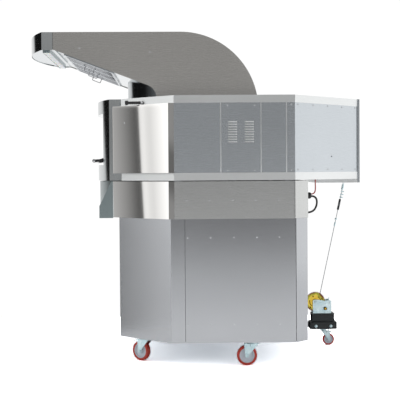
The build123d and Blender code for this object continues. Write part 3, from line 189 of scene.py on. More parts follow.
finish = {
    # AISI 304 sheet with a level brushed grain: soft reflections drawn out upright. The real lines
    # are about 0.1 mm apart; they are drawn ten times coarser, or the render would lose them.
    "brushed_panels": brushed_finish("brushed_stainless", "B8BDC1", 0.27),
    # Bright annealed stainless: nearly a mirror, with a slight waviness
    "polished_panels": surface(
        "bright_annealed_stainless", "D1D0CE", grain=(0.02, 0.003, 2.2, 1, (1, 1, 0.5)),
        Metallic=1.0, Roughness=0.02,
    ),
    # Smoked stainless, coloured dark in a bath and lightly brushed: greenish grey, still a metal
    "dark_panel": brushed_finish("smoked_stainless", "98A4A6", 0.3, 0.2),
    # Chamotte wall: dry, warm and grainy
    "refractory": surface(
        "fired_chamotte", "B9AC97", (), (0.4, 0.001, 350, 6.0), ("A89A84", "C9BEAB", 60, 8.0), Roughness=0.92
    ),
    # Cordierite baking stone: paler, with scorched clouds from baking
    "deck_stone": surface(
        "cordierite_stone", "BCAE98", (), (0.35, 0.0006, 700), ("8E7E68", "CABDA8", 7, 10.0), Roughness=0.85
    ),
    # Mill-finish structural steel: dull grey with rolled mottling
    "plain_steel": surface("mill_steel", "84868A", (30, 0.42, 0.6, 6.0), Metallic=1.0, Roughness=0.5),
    # Grey machine enamel, sprayed: low gloss with a faint orange peel
    "machine_paint": surface("grey_machine_enamel", "6B7276", grain=(0.15, 0.0005, 420), Roughness=0.42),
    # Moulded phenolic and nylon: black, with a fine spark-eroded texture
    "black_plastic": surface(
        "moulded_phenolic", "1A1A1B", (1200, 0.34, 0.5), (0.12, 0.0002, 1500), Roughness=0.4
    ),
    # Tempered glass with a grey heat-reflecting coat: dark, clear and sharp in its reflections
    "oven_glass": surface(
        "coated_oven_glass", "5A6166", (4, 0.03, 0.07), Roughness=0.04, Transmission_Weight=0.85, IOR=1.5
    ),
    # Drawn and polished bar: bright, with its reflections drawn out along its length
    "bar_steel": brushed_finish("drawn_stainless_bar", "CBCDCF", 0.16, 0.2, (1.5, 300, 300)),
    # Opal polycarbonate: milky and soft
    "lamp_cover": surface(
        "opal_polycarbonate", "E4E6E6", (40, 0.3, 0.42), Roughness=0.35, Subsurface_Weight=0.2
    ),
    # Powder coat: black, with a fine leather-like texture
    "black_paint": surface("black_powder_coat", "0F1719", grain=(0.3, 0.0004, 900, 5.0), Roughness=0.5),
    # Bright zinc, blue passivated: bluish silver with pale clouds
    "zinc_plate": surface(
        "blue_passivated_zinc", "C2D6DB", (45, 0.24, 0.4, 5.0), (), ("B4CDD3", "D2E2E5", 28, 4.0),
        Metallic=1.0, Roughness=0.34,
    ),
    # Yellow chromated zinc: gold that drifts to green and rose where the film is thicker
    "yellow_zinc": chromated(
        "yellow_chromated_zinc", [(0.0, "8E5A2B"), (0.3, "D3B040"), (0.62, "C9B63E"), (1.0, "8FA348")], 0.3,
        mottled,
    ),
    # Extruded PVC: satin, with faint lines along the lead
    **{
        slot: surface(name, colour, (260, 0.36, 0.5), (0.1, 0.0003, 500), Roughness=0.42)
        for slot, name, colour in (("lead_black", "extruded_black_pvc", "171718"),
                                   ("lead_red", "extruded_red_pvc", "A12820"))
    },
    # Cast polyurethane tread: brick red, satin, dusty on its running face
    "red_tread": surface(
        "cast_polyurethane", "B4301F", (), (0.1, 0.0004, 600), ("9C2719", "C23B26", 70, 6.0), Roughness=0.42
    ),
}
# The same chromate on the big gear: gold, then green, then red-brown at the rim
gear_film = chromated(
    "yellow_chromated_gear",
    [(0.0, "C9A83C"), (0.45, "D6B648"), (0.66, "D8BE50"), (0.76, "8C9A3E"), (0.85, "A8963C"),
     (0.92, "7A4A2C"), (1.0, "5E3826")], 0.26, dried_outwards,
)
# Injection-moulded polyamide hub: light grey, slightly waxy
hub_grey = surface("moulded_polyamide", "C5CAD2", (200, 0.34, 0.5), Roughness=0.4)
# Galvanised wire rope: dull silver
rope_wire = surface("galvanised_wire_rope", "A6A8AC", (800, 0.38, 0.55), Metallic=1.0, Roughness=0.45)
# Knitted aluminium wire pad: pale and sparkling, with loops about 3 mm apart
knitted = surface(
    "knitted_aluminium_wire", "F4F5F5", (500, 0.26, 0.4), (0.12, 0.001, 330), Metallic=1.0, Roughness=0.3
)
# Blackened steel screws and fittings: dark, with a dull metal sheen
blackened = surface("blackened_steel", "26272A", (300, 0.38, 0.55), Metallic=0.8, Roughness=0.45)



# Making pieces
def let_go():
    bpy.ops.object.select_all(action="DESELECT")


def pick(piece):
    """Selects one piece alone, for the operator that follows."""
    let_go()
    piece.select_set(True)
    bpy.context.view_layer.objects.active = piece


def keep(piece, name, place=None):
    """Names a new piece and puts its place into its mesh."""
    piece.name = piece.data.name = name
    piece.data.transform((place or Matrix()) @ piece.matrix_basis)
    piece.matrix_basis = Matrix()
    return piece


def give(piece, material, body="machine", stands_for=()):
    """Finish, body and CAD nodes of a finished piece."""
    piece.data.materials.clear()
    piece.data.materials.append(finish[material] if isinstance(material, str) else material)
    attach(piece, body)
    if stands_for:
        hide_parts(*stands_for)
    return piece


def smooth(piece, angle=35):
    """Smooth shading up to an angle between faces."""
    pick(piece)
    bpy.ops.object.shade_smooth_by_angle(angle=math.radians(angle))
    return piece


def turned(name, steps, place, sides=32, angle=35):
    """A piece turned about its own z. Each step is a radius and the height of that cut."""
    let_go()
    radius, height = steps[0]
    bpy.ops.mesh.primitive_circle_add(
        vertices=sides, radius=radius, fill_type="NGON", location=(0, 0, height)
    )
    bpy.ops.object.mode_set(mode="EDIT")
    for next_radius, next_height in steps[1:]:
        bpy.ops.mesh.extrude_region_move(
            TRANSFORM_OT_translate={"value": (0, 0, next_height - height)}
        )
        bpy.ops.transform.resize(
            value=(next_radius / radius, next_radius / radius, 1), center_override=(0, 0, next_height)
        )
        radius, height = next_radius, next_height
    bpy.ops.mesh.select_all(action="SELECT")
    bpy.ops.mesh.normals_make_consistent(inside=False)
    bpy.ops.object.mode_set(mode="OBJECT")
    return smooth(keep(bpy.context.object, name, place), angle)


def both_ends(steps):
    """A turned profile from its end to its middle, and the same back to its other end."""
    return steps + [(radius, -height) for radius, height in reversed(steps)]


def modified(piece, kind, **settings):
    """A piece with a modifier set and applied."""
    modifier = piece.modifiers.new(kind.lower(), kind)
    for name, value in settings.items():
        setattr(modifier, name, value)
    pick(piece)
    bpy.ops.object.modifier_apply(modifier=modifier.name)
    return piece


def block(name, low, high, edge=0.001, place=None):
    """A squared piece between two corners, with its sharp edges broken."""
    let_go()
    low, high = Vector(low), Vector(high)
    bpy.ops.mesh.primitive_cube_add(size=1, location=(low + high) / 2, scale=high - low)
    piece = keep(bpy.context.object, name)
    if place:
        piece.data.transform(place)
    return smooth(modified(piece, "BEVEL", width=edge, segments=2, limit_method="ANGLE"))


def rounded(points, radius, parts=4):
    """A closed outline with its corners rounded. A corner may give its own radius as a third number."""
    outline = []
    for index, point in enumerate(points):
        corner = Vector(point[:2])
        before = Vector(points[index - 1][:2]) - corner
        after = Vector(points[(index + 1) % len(points)][:2]) - corner
        own = point[2] if len(point) > 2 else radius
        half = before.angle(after) / 2
        if own <= 0 or half > math.pi / 2 - 0.02:
            outline.append(tuple(corner))
            continue
        cut = min(own / math.tan(half), 0.49 * before.length, 0.49 * after.length)
        start, end = corner + before.normalized() * cut, corner + after.normalized() * cut
        for part in range(parts + 1):
            share = part / parts
            outline.append(
                tuple(start * (1 - share) ** 2 + corner * 2 * share * (1 - share) + end * share**2)
            )
    return outline


def oblong(half_x, half_y, radius, parts=4):
    """A rectangle round the middle with rounded corners."""
    return rounded(
        [(-half_x, -half_y), (half_x, -half_y), (half_x, half_y), (-half_x, half_y)], radius, parts
    )


def polar(radius, angle):
    """Point of a plane at a radius and an angle."""
    return radius * math.cos(angle), radius * math.sin(angle)


def ring(radius, centre=(0, 0), sides=24):
    """A round outline."""
    spots = [polar(radius, math.tau * i / sides) for i in range(sides)]
    return [(centre[0] + x, centre[1] + y) for x, y in spots]


def meshed(piece):
    """A new curve object, linked and made a mesh, welded, with its normals outwards."""
    bpy.context.scene.collection.objects.link(piece)
    pick(piece)
    bpy.ops.object.convert(target="MESH")
    bpy.ops.object.mode_set(mode="EDIT")
    bpy.ops.mesh.select_all(action="SELECT")
    bpy.ops.mesh.remove_doubles(threshold=0.00002)
    bpy.ops.mesh.normals_make_consistent(inside=False)
    bpy.ops.object.mode_set(mode="OBJECT")
    return bpy.context.object


def cut_sheet(name, outlines, low, high, place, edge=0.0003):
    """Sheet cut on an outline and its holes, from a low to a high face along its own z."""
    drawing = bpy.data.curves.new(name, "CURVE")
    drawing.dimensions, drawing.fill_mode = "2D", "BOTH"
    drawing.extrude, drawing.bevel_depth, drawing.offset = (high - low) / 2 - edge, edge, -edge
    drawing.bevel_resolution = 1
    for outline in outlines:
        spline = drawing.splines.new("POLY")
        spline.points.add(len(outline) - 1)
        for point, spot in zip(spline.points, outline):
            point.co = (*spot, 0, 1)
        spline.use_cyclic_u = True
    piece = meshed(bpy.data.objects.new(name, drawing))
    return smooth(keep(piece, name, place @ shift((0, 0, (low + high) / 2))), 20)


def smooth_line(name, points, resolution, radius=0.0, sides=0):
    """Curve on one smooth line with a route's points as control points, round if it has a radius."""
    drawing = bpy.data.curves.new(name, "CURVE")
    drawing.dimensions, drawing.resolution_u = "3D", resolution
    drawing.bevel_depth, drawing.bevel_resolution, drawing.use_fill_caps = radius, sides, radius > 0
    spline = drawing.splines.new("NURBS")
    spline.points.add(len(points) - 1)
    for point, spot in zip(spline.points, points):
        point.co = (*spot, 1)
    spline.order_u, spline.use_endpoint_u = 3, True
    return bpy.data.objects.new(name, drawing)


def wire(name, points, radius, resolution, sides=3):
    """Round wire along a smooth line."""
    return smooth(keep(meshed(smooth_line(name, points, resolution, radius, sides)), name))


def joined(name, pieces):
    """Several meshes as one piece."""
    pick(pieces[0])
    for piece in pieces:
        piece.select_set(True)
    if len(pieces) > 1:
        bpy.ops.object.join()
    return keep(bpy.context.object, name)


def copies(model, name, places):
    """Copies of a modelled piece at several places, joined into one piece; the model goes."""
    made = []
    for place in places:
        piece = bpy.data.objects.new(name, model.data.copy())
        bpy.context.scene.collection.objects.link(piece)
        piece.data.transform(place)
        made.append(piece)
    bpy.data.objects.remove(model)
    return joined(name, made)


# Places: a shift, and a turn that lays a piece's own z along X or along -Y of the machine
shift = Matrix.Translation
ALONG_X, ALONG_Y = (Matrix.Rotation(math.pi / 2, 4, axis) for axis in "YX")


def facing(spot, outward, up=UP):
    """Place whose own z points outwards."""
    z = Vector(outward).normalized()
    x = Vector(up).cross(z)
    x = x.normalized() if x.length > 1e-6 else Vector((1, 0, 0))
    turn = Matrix((x, z.cross(x), z)).transposed().to_4x4()
    return Matrix.Translation(spot) @ turn


def across(spot):
    """Place whose own z lies along +X of the machine, and its own x along +Y."""
    return Matrix.Translation(spot) @ Matrix(((0, 0, 1, 0), (1, 0, 0, 0), (0, 1, 0, 0), (0, 0, 0, 1)))


# The CAD's own panels keep their shapes and take their finishes
slot_of = {part["node"]: part["material_slot"] for part in frame["record"]["subparts"]}
for name, node in nodes.items():
    node.data.materials.clear()
    node.data.materials.append(finish[slot_of[name]])

# The bowed fronts are cut from a finer, brighter sheet, and the base from a duller one
strip_sheet = brushed_finish("bead_blasted_stainless", "D6D8D8", 0.36)
for sheet, names in (
    (brushed_finish("finely_brushed_stainless", "D4D8D9", 0.11), ("portal", "hood_fascia")),
    (brushed_finish("satin_stainless", "B6BDC1", 0.12), ("hood_underside",)),
    (brushed_finish("dull_brushed_stainless", "ACAEB1", 0.17, 0.3),
     ("base_front_panels", "base_side_panels", "base_rear_cover")),
    (brushed_finish("level_brushed_stainless", "BBBCBB", 0.27), ("band_panels",)),
    (brushed_finish("warm_brushed_stainless", "C6C4C0", 0.27), ("hood_skin", "hood_sides")),
    (strip_sheet, ("body_rims", "body_floor")),
    (rope_wire, ("filter_bail_left", "filter_bail_mid", "filter_bail_right")),
):
    for name in names:
        nodes[name].data.materials[0] = sheet


# Screws and rivets
def button_screw(radius=0.0052):
    """Button-head screw with a socket; the head stands on z = 0."""
    r = radius
    steps = [(r, -0.001), (r, 0.0004), (0.94 * r, 0.0011), (0.76 * r, 0.0018), (0.5 * r, 0.0022),
             (0.46 * r, 0.0022), (0.4 * r, 0.0006)]
    return turned("button_screw", steps, Matrix(), 16)


def rivet(radius):
    """Domed blind rivet with its drawn mandrel hole."""
    r = radius
    steps = [(r, -0.0004), (r, 0.0003), (0.85 * r, 0.0009), (0.5 * r, 0.0013), (0.3 * r, 0.0013),
             (0.25 * r, 0.0006)]
    return turned("rivet", steps, Matrix(), 14)


SIDES = (1, -1)
SIDE_X, RIM_TOP, RIM_LOW = 0.808, 1.587, 1.194


def on_sides(spots, x=SIDE_X):
    """Places that face outwards on both sides of the machine, at spots of y and z."""
    return [facing((side * x, y, z), (side, 0, 0)) for side in SIDES for y, z in spots]


band_rows = [(y, 1.0145) for y in (-0.056, 0.082, 0.221, 0.359, 0.498)]
base_rows = [(y, z) for z in (0.789, 0.263) for y in (-0.052, 0.086, 0.226, 0.365, 0.501)]
louvre_rows = [(y, z) for y in (0.192, 0.354) for z in (1.583, RIM_LOW)]
side_screws = on_sides(band_rows + base_rows + louvre_rows + [(0.576, RIM_TOP), (0.576, RIM_LOW)])
# Where each rear corner is cut off, and its screws at distances t along the cut
CUT_X, CUT_Y = 0.8072, 0.5998


def on_cuts(spots):
    """Places that face outwards on both cut-off rear corners, at distances along the cut and heights."""
    return [facing((side * (CUT_X - t), CUT_Y + t, z), (side, 1, 0)) for side in SIDES for t, z in spots]


cover_screws = on_cuts([(t, z) for t in (0.0195, 0.125, 0.230, 0.3375, 0.436) for z in (RIM_TOP, RIM_LOW)])
corner_screws = [facing((side * 0.5356, -0.4384, 1.493), (side, -1, 0)) for side in SIDES]
give(copies(button_screw(), "panel_screws", side_screws + cover_screws + corner_screws), "bar_steel")
give(copies(rivet(0.005), "hood_rivets", on_sides(((-0.712, 1.956), (-0.275, 1.932)), 0.554)), "bar_steel")
give(copies(rivet(0.004), "cover_plugs", on_cuts([(0.2585, 1.2756)])), blackened)


# Louvres: each is a lip pressed out of its panel over a slot
def louvre():
    """One louvre lip, its root on z = 0: 55 mm long on x, open downwards."""
    let_go()
    bpy.ops.mesh.primitive_grid_add(x_subdivisions=12, y_subdivisions=4, size=1)
    piece = keep(bpy.context.object, "louvre")
    for vertex in piece.data.vertices:
        along, up = vertex.co.x, vertex.co.y + 0.5
        ends = max(0.0, 1 - (2 * abs(along)) ** 6)
        swell = min(1, (1 - up) * 1.1) * ends
        vertex.co = (along * 0.055, (up - 0.5) * 0.0075, 0.0001 + 0.0038 * swell)
    return smooth(modified(piece, "SOLIDIFY", thickness=0.0009, offset=-1), 60)


panel_low, panel_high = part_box("louvre_panels")
PANEL_Y, PANEL_Z = 0.272, 1.389
louvre_spots = [
    (PANEL_Y + column * 0.101, 1.491 - 0.015 * row - 0.007) for column in (-0.5, 0.5) for row in range(9)
]
SLOT = ((-0.0255, -0.0042), (0.0255, -0.0042), (0.0255, 0.001), (-0.0255, 0.001))
panels = []
for side in SIDES:
    slots = [
        rounded([(side * (y - PANEL_Y) + dx, z - PANEL_Z + dz) for dx, dz in SLOT], 0.0015, 2)
        for y, z in louvre_spots
    ]
    place = facing((side * 0.806, PANEL_Y, PANEL_Z), (side, 0, 0))
    panels.append(cut_sheet("louvre_sheet", [oblong(0.120, 0.2098, 0.001)] + slots, 0, 0.002, place))
give(joined("louvre_sheets", panels), "brushed_panels", stands_for=("louvre_panels",))
# Painted highlight: the lips take the brighter strip sheet instead of their panel's finish, for the light
# their slopes catch
give(copies(louvre(), "louvre_lips", on_sides(louvre_spots)), strip_sheet, "machine")
# Painted shade: dark sheets behind the slots stand in for the shade inside the vents
shade_sheets = [
    block("back", (side * 0.7985, 0.19, 1.335), (side * 0.7995, 0.354, 1.505), 0.0002) for side in SIDES
]
give(joined("louvre_shade_sheets", shade_sheets), blackened)
# The side panels' edges are bent back; the light they catch at the seams is painted on as bright strips
# standing slightly proud (painted highlight)
seam_highlights = []
for side in SIDES:
    near, far = sorted((side * 0.8062, side * 0.8086))
    for y in (0.151, 0.393, 0.547):
        seam_highlights.append(
            block("seam", (near, y - 0.0022, panel_low.z), (far, y + 0.0022, panel_high.z), 0.0006)
        )
give(joined("panel_seam_highlights", seam_highlights), strip_sheet, "machine")


# Casters
def hexagon(name, radius, low, high, place):
    """Hexagon head or nut with its chamfered corners."""
    steps = [(radius * 0.93, low), (radius, low + 0.0006), (radius, high - 0.0008), (radius * 0.9, high)]
    return turned(name, steps, place, 6, 20)


def tyre_and_hub(name, spot, radius, half, trail, body, node):
    """Polyurethane tread bonded on a moulded hub with a recessed web."""
    place = spot @ shift((0, -trail, radius - spot.translation.z)) @ ALONG_X
    rim, r, w = 0.745 * radius, radius, half
    tread = [(rim, -0.4 * w), (rim, -0.94 * w), (rim + 0.002, -w), (r - 0.004, -w),
             (r - 0.0013, -w + 0.0015), (r, -w + 0.0055)]
    give(turned(name + "_tyre", both_ends(tread), place, 64), "red_tread", body)
    boss, web = 0.3 * radius, 0.42 * w
    core = [(boss * 0.6, -w - 0.002), (boss * 0.92, -w - 0.002), (boss, -w), (boss * 1.05, -web),
            (rim * 0.8, -web), (rim * 0.88, -w * 0.8), (rim * 0.9, -w * 0.9), (rim * 0.985, -w * 0.9)]
    give(turned(name + "_hub", both_ends(core), place, 48), hub_grey, body, (node,))


def fork(name, spot, radius, half, trail, race, body, node):
    """Pressed fork: crown, two ribbed legs, swivel head, and the axle with its head and nut."""
    gap, side_x, axle = half + 0.003, half + 0.006, radius - spot.translation.z
    heel, nose, foot = 0.8 * race, -trail - 0.28 * radius, 0.2 * radius
    leg = rounded(
        [(heel, -0.018, 0.002), (nose, -0.018, 0.003), (nose, -0.031, 0.012),
         (-trail - foot, axle + 0.006, 0.01), (-trail - foot, axle - foot, foot),
         (-trail + foot, axle - foot, foot), (-trail + foot, axle + 0.004, 0.01)], 0.004, 5,
    )
    rib_y, rib_z = -0.6 * trail, (axle - 0.018) * 0.55 - 0.018
    turn = spot @ shift((0, -trail, axle)) @ ALONG_X
    head = [(race - 0.005, -0.0185), (race - 0.0035, -0.0165), (race - 0.0035, -0.0125),
            (race - 0.0055, -0.0105), (race - 0.0055, -0.0085), (race - 0.012, -0.0081)]
    made = [
        block("crown", (-side_x, -trail, -0.021), (side_x, heel, -0.018), 0.001, spot),
        turned("head", head, spot, 40),
        turned("kingpin", [(0.0095, -0.0255), (0.0105, -0.0245), (0.0105, -0.021)], spot, 24),
        turned("axle", [(0.0058, -side_x - 0.006), (0.006, -side_x - 0.005), (0.006, side_x + 0.001)],
               turn, 20),
        turned("washer", [(0.0105, side_x), (0.011, side_x + 0.0003), (0.0108, side_x + 0.001)], turn, 24),
        hexagon("bolt_head", 0.0088, side_x + 0.001, side_x + 0.0052, turn),
        hexagon("nut", 0.0088, -side_x - 0.0048, -side_x, turn),
    ]
    for side in SIDES:
        leg_place = spot @ across((side * (gap + 0.0015), 0, 0))
        made.append(cut_sheet("leg", [leg], -0.0015, 0.0015, leg_place, 0.0005))
        rib_x = side * (gap + 0.0022)
        low, high = (rib_x - 0.0015, rib_y - 0.0035, rib_z), (rib_x + 0.0015, rib_y + 0.0035, -0.020)
        made.append(block("rib", low, high, 0.0012, spot))
    give(joined(name, made), "zinc_plate", body, stands_for=(node,))


def pedal(name, spot, half, trail, reach, body, node):
    """Pressed brake pedal with turned-down sides and a ribbed tread, on its pin."""
    pin_y, pin_z = -trail - 0.012, -0.024
    # Outline of the blade as y and z from the pin, and the radius of each corner
    tip, knee = pin_y - reach, pin_y - 0.6 * reach
    tip_z, knee_z = pin_z - 0.2 * reach, pin_z - 0.07 * reach
    blade = rounded(
        [(pin_y + 0.0035, pin_z - 0.0025, 0.0015), (pin_y + 0.0035, pin_z + 0.0025, 0.0015),
         (pin_y - 0.004, pin_z + 0.0027, 0.004), (knee, knee_z, 0.02), (tip, tip_z, 0.001),
         (tip, tip_z - 0.0024, 0.001), (knee, knee_z - 0.0026, 0.02), (pin_y - 0.004, pin_z - 0.0024, 0.004)],
        0.002, 5,
    )
    made = [
        cut_sheet("blade", [blade], -half + 0.001, half - 0.001, spot @ across((0, 0, 0)), 0.0004),
        turned("pin", both_ends([(0.0025, -half - 0.0065)]), spot @ shift((0, pin_y, pin_z)) @ ALONG_X, 16),
    ]
    for step in (0.66, 0.78, 0.9):
        y, z = pin_y - step * reach, pin_z - (0.07 + (step - 0.6) * 0.325) * reach
        low, high = (-half + 0.004, y - 0.0012, z - 0.0006), (half - 0.004, y + 0.0012, z + 0.0012)
        made.append(block("rib", low, high, 0.0005, spot))
    give(joined(name, made), "zinc_plate", body, stands_for=(node,))


def top_plate(spot, half_x, half_y, race):
    """Caster's top plate with holes and bolts, and the fixed race under it."""
    flat = shift(spot.translation)
    corners = [(sx * (half_x - 0.0115), sy * (half_y - 0.0115)) for sx in SIDES for sy in SIDES]
    holes = [ring(0.0045, corner, 16) for corner in corners]
    steps = [(race - 0.003, -0.0074), (race - 0.0005, -0.0070), (race, -0.0055), (race, -0.0035)]
    return [
        cut_sheet("plate", [oblong(half_x, half_y, 0.007)] + holes, -0.004, 0, flat, 0.0006),
        turned("race", steps, flat, 40),
    ] + [hexagon("bolt", 0.0068, -0.0092, -0.004, flat @ shift((x, y, 0))) for x, y in corners]


# Each caster's place, the names of its fork's and wheel's nodes, and its pedal's node if it has a brake
FRONT_TURN = Matrix.Rotation(math.radians(-38), 4, "Z")
CASTERS = {
    "fl": (shift((-0.539, -0.305, 0.155)) @ FRONT_TURN, "caster_%s_fl", "brake_pedal_fl"),
    "fr": (shift((0.539, -0.305, 0.155)) @ FRONT_TURN, "caster_%s_fr", "brake_pedal_fr"),
    "rl": (shift((-0.720, 0.355, 0.155)), "caster_%s_rl", None),
    "rr": (shift((0.720, 0.355, 0.155)), "caster_%s_rr", None),
    "winch": (shift((0, 0.883, 0.115)) @ Matrix.Rotation(math.pi, 4, "Z"), "winch_caster_%s",
              "winch_brake_pedal"),
}
# Wheel radius, half width, trail, radius of the race, half plate in x and y, and pedal's reach
LARGE = (0.0625, 0.016, 0.048, 0.030, 0.0525, 0.0425, 0.045)
SMALL = (0.040, 0.012, 0.030, 0.022, 0.038, 0.038, 0.030)
plates = []
for key, (spot, node_names, pedal_node) in CASTERS.items():
    radius, half, trail, race, half_x, half_y, reach = SMALL if key == "winch" else LARGE
    plates += top_plate(spot, half_x, half_y, race)
    fork("fork_" + key + "_pressed", spot, radius, half, trail, race, "fork_" + key, node_names % "fork")
    tyre_and_hub("wheel_" + key, spot, radius, half, trail, "wheel_" + key, node_names % "wheel")
    if pedal_node:
        pedal("pedal_" + key + "_pressed", spot, half, trail, reach, "pedal_" + key, pedal_node)
give(joined("caster_top_plates", plates), "zinc_plate", stands_for=("caster_plates",))


# Winch
def toothed(teeth, module, turn):
    """Outline of a spur gear with a tooth at the angle turn, six points to a tooth."""
    flank = ((-0.36, -1.05), (-0.245, 0.0), (-0.13, 0.8), (0.13, 0.8), (0.245, 0.0), (0.36, -1.05))
    outline = []
    for tooth in range(teeth):
        for share, height in flank:
            radius = module * (teeth / 2 + height)
            outline.append(polar(radius, turn + (tooth + share) * math.tau / teeth))
    return outline


def bent_slot(radius, half, middle, spread, parts=10):
    """Outline of a slot bent round a centre, with round ends; angles in degrees."""
    outline = []
    for side in SIDES:
        for part in range(parts + 1):
            angle = math.radians(middle + side * spread * (part / parts - 0.5))
            outline.append(polar(radius + side * half, angle))
        end = math.radians(middle + side * spread * 0.5)
        for part in (1, 2, 3):
            swing = end + side * math.pi * part / 4 + (0 if side > 0 else math.pi)
            outline.append(tuple(Vector(polar(radius, end)) + Vector(polar(half, swing))))
    return outline


gear_holes = [
    bent_slot(*slot)
    for slot in ((0.0375, 0.0022, 28, 66), (0.0375, 0.0022, 196, 66), (0.0495, 0.0034, 18, 12),
                 (0.0495, 0.0034, 226, 12))
] + [ring(0.0045, polar(0.0405, angle), 16) for angle in (1.95, 4.95)]
drum_place = across(DRUM)
gear_outline = toothed(52, 0.00254, -math.radians(34.5))
HUB = [(0.024, -0.0255), (0.024, 0.0312), (0.0205, 0.0312), (0.0205, 0.0388), (0.0195, 0.0394),
       (0.0085, 0.0394)]
FLANGE = [(0.047, -0.0286), (0.049, -0.0284), (0.050, -0.0274), (0.050, -0.0264), (0.049, -0.0256),
          (0.0245, -0.0256)]
drum = [
    cut_sheet("gear", [gear_outline] + gear_holes, 0.0315, 0.0375, drum_place, 0.0004),
    turned("rim", [(0.0572, 0.0374), (0.0576, 0.0386), (0.0612, 0.0386), (0.0616, 0.0374)], drum_place, 96),
    turned("hub", HUB, drum_place, 64),
    turned("flange", FLANGE, drum_place, 72),
]
give(joined("winch_gear_and_drum", drum), gear_film, "drum", ("winch_drum",))
AXLE = [(0.0062, -0.0469), (0.0078, -0.0462), (0.0078, 0.0462), (0.0062, 0.0469), (0.003, 0.0469),
        (0.0024, 0.0458)]
give(turned("axle", AXLE, drum_place, 32), "zinc_plate", "drum")
# Five turns of rope side by side, each half out of the winding
ROUND = [(0.0241, -0.0025), (0.0258, -0.0022), (0.0283, -0.0012)]
wraps = [
    (radius, -0.0228 + 0.0052 * turn + height) for turn in range(5)
    for radius, height in ROUND + [(0.0289, 0)] + [(r, -h) for r, h in reversed(ROUND)]
]
give(turned("rope_wound_on_drum", wraps, drum_place, 72, 60), rope_wire, "drum")

frame_outline = rounded(
    [(-0.017, -0.079, 0.002), (0.107, -0.079, 0.002), (0.107, 0.005, 0.004), (0.098, 0.010, 0.006),
     (0.063, 0.006, 0.010), (0.020, 0.014, 0.020), (-0.011, 0.014, 0.005), (-0.017, 0.008, 0.004)],
    0.003, 5,
)
pinion_hole = ring(0.0074, (PINION.y - DRUM.y, PINION.z - DRUM.z), 24)
plates = []
for side in SIDES:
    holes = [ring(0.0084, (0, 0), 24), pinion_hole]
    holes += [] if side > 0 else [ring(0.0044, (0.095, -0.010), 16)]
    near, far = sorted((side * 0.042, side * 0.045))
    plates.append(cut_sheet("side", [frame_outline] + holes, near, far, drum_place, 0.0007))
    foot = sorted((side * 0.0305, side * 0.0425))
    plates.append(block("foot", (foot[0], 0.8035, 0.2213), (foot[1], 0.9265, 0.2243), 0.0008))
for y, z in ((0.811, 0.232), (0.917, 0.232), (0.919, 0.296)):
    steps = both_ends([(0.004, -0.0455), (0.005, -0.045), (0.0052, -0.042)])
    plates.append(turned("spacer", steps, across((0, y, z)), 20))
give(joined("winch_side_plates", plates), "zinc_plate", stands_for=("winch_frame",))
NUT = [(0.0071, 0.0478), (0.0110, 0.0478), (0.0116, 0.0484), (0.0116, 0.0537), (0.0108, 0.0545),
       (0.0074, 0.0545), (0.0071, 0.0541)]
give(turned("crank_nut_ring", NUT, across(PINION), 32), blackened, "pinion")
CUP = [(0.0098, -0.0005), (0.0102, 0.0002), (0.0101, 0.0009), (0.0092, 0.0020), (0.0070, 0.0032),
       (0.0040, 0.0039), (0.0012, 0.0041)]
bolt_places = on_sides([(0.822, 0.136), (0.923, 0.136)], 0.060)
give(copies(turned("bolt", CUP, Matrix(), 28, 60), "winch_bracket_bolts", bolt_places), "zinc_plate")
boxes = []
for half, y0, y1, z0, z1 in ((0.060, 0.783, 0.964, 0.115, 0.164), (0.052, 0.798, 0.947, 0.1645, 0.221)):
    w = 0.004
    section = rounded(
        [(-half, z0, 0.004), (half, z0, 0.004), (half, z1, 0.005), (-half, z1, 0.005)], 0.004, 5
    )
    inner = rounded([(-half + w, z0 + w), (half - w, z0 + w), (half - w, z1 - w), (-half + w, z1 - w)], 0.002)
    boxes.append(cut_sheet("box", [section, inner], 0, y1 - y0, shift((0, y1, 0)) @ ALONG_Y, 0.0006))
boxes.append(block("arm", (-0.020, 0.683, 0.125), (0.020, 0.784, 0.160), 0.003))
boxes.append(block("foot", (-0.056, 0.6815, 0.1515), (0.056, 0.6865, 0.221), 0.0015))
for x in (-0.044, 0.044):
    for z in (0.165, 0.207):
        boxes.append(hexagon("bolt", 0.0065, 0.0, 0.0045, facing((x, 0.6865, z), (0, 1, 0))))
give(joined("winch_bracket_boxes", boxes), "black_paint", stands_for=("winch_bracket",))

# Wire rope: six strands laid round a core, with its grips, turnbuckle and eye
ROPE_LOW, ROPE_HIGH, ROPE_LAY = Vector((0, 0.84610, 0.29436)), Vector((0, 1.0192, 1.0949)), 0.021


def middle_line(name, points):
    """Points along a cord's own smooth line."""
    piece = smooth_line(name, points, 12)
    line = [vertex.co.copy() for vertex in bpy.data.meshes.new_from_object(piece).vertices]
    bpy.data.objects.remove(piece)
    return line


def spot_on(line, share):
    """Point at a share of a line's length."""
    runs = [(b - a).length for a, b in zip(line, line[1:])]
    left = share * sum(runs)
    for start, end, run in zip(line, line[1:], runs):
        if left <= run:
            break
        left -= run
    return start.lerp(end, min(1, left / run))


rope_run = ROPE_HIGH - ROPE_LOW
rope_way = rope_run.normalized()
rope_points = [ROPE_LOW, ROPE_LOW + rope_way * 0.03, ROPE_HIGH - rope_way * 0.03, ROPE_HIGH]
rope_line = middle_line("rope_line", rope_points)
across_rope = UP.cross(rope_way).normalized()
beside_rope = rope_way.cross(across_rope)
STRANDS, STEPS_A_TURN = 6, 10
steps = int(rope_run.length / ROPE_LAY * STEPS_A_TURN)
middles = [spot_on(rope_line, step / steps) for step in range(steps + 1)]
strands = []
for strand in range(STRANDS):
    helix = []
    for step, middle in enumerate(middles):
        x, y = polar(0.00158, math.tau * (step / STEPS_A_TURN + strand / STRANDS))
        helix.append(middle + across_rope * x + beside_rope * y)
    strands.append(wire("strand", helix, 0.00092, 1, 1))
rope = joined("winch_wire_rope", strands)
give(rope, rope_wire, "machine", ("winch_rope",))

rope_place = shift(ROPE_HIGH) @ rope_way.to_track_quat("Z", "X").to_matrix().to_4x4()


def along_rope(name, steps, sides=28):
    """A piece turned about the rope; heights are measured down from its top end."""
    return turned(name, [(r, -h) for r, h in steps], rope_place, sides, 50)


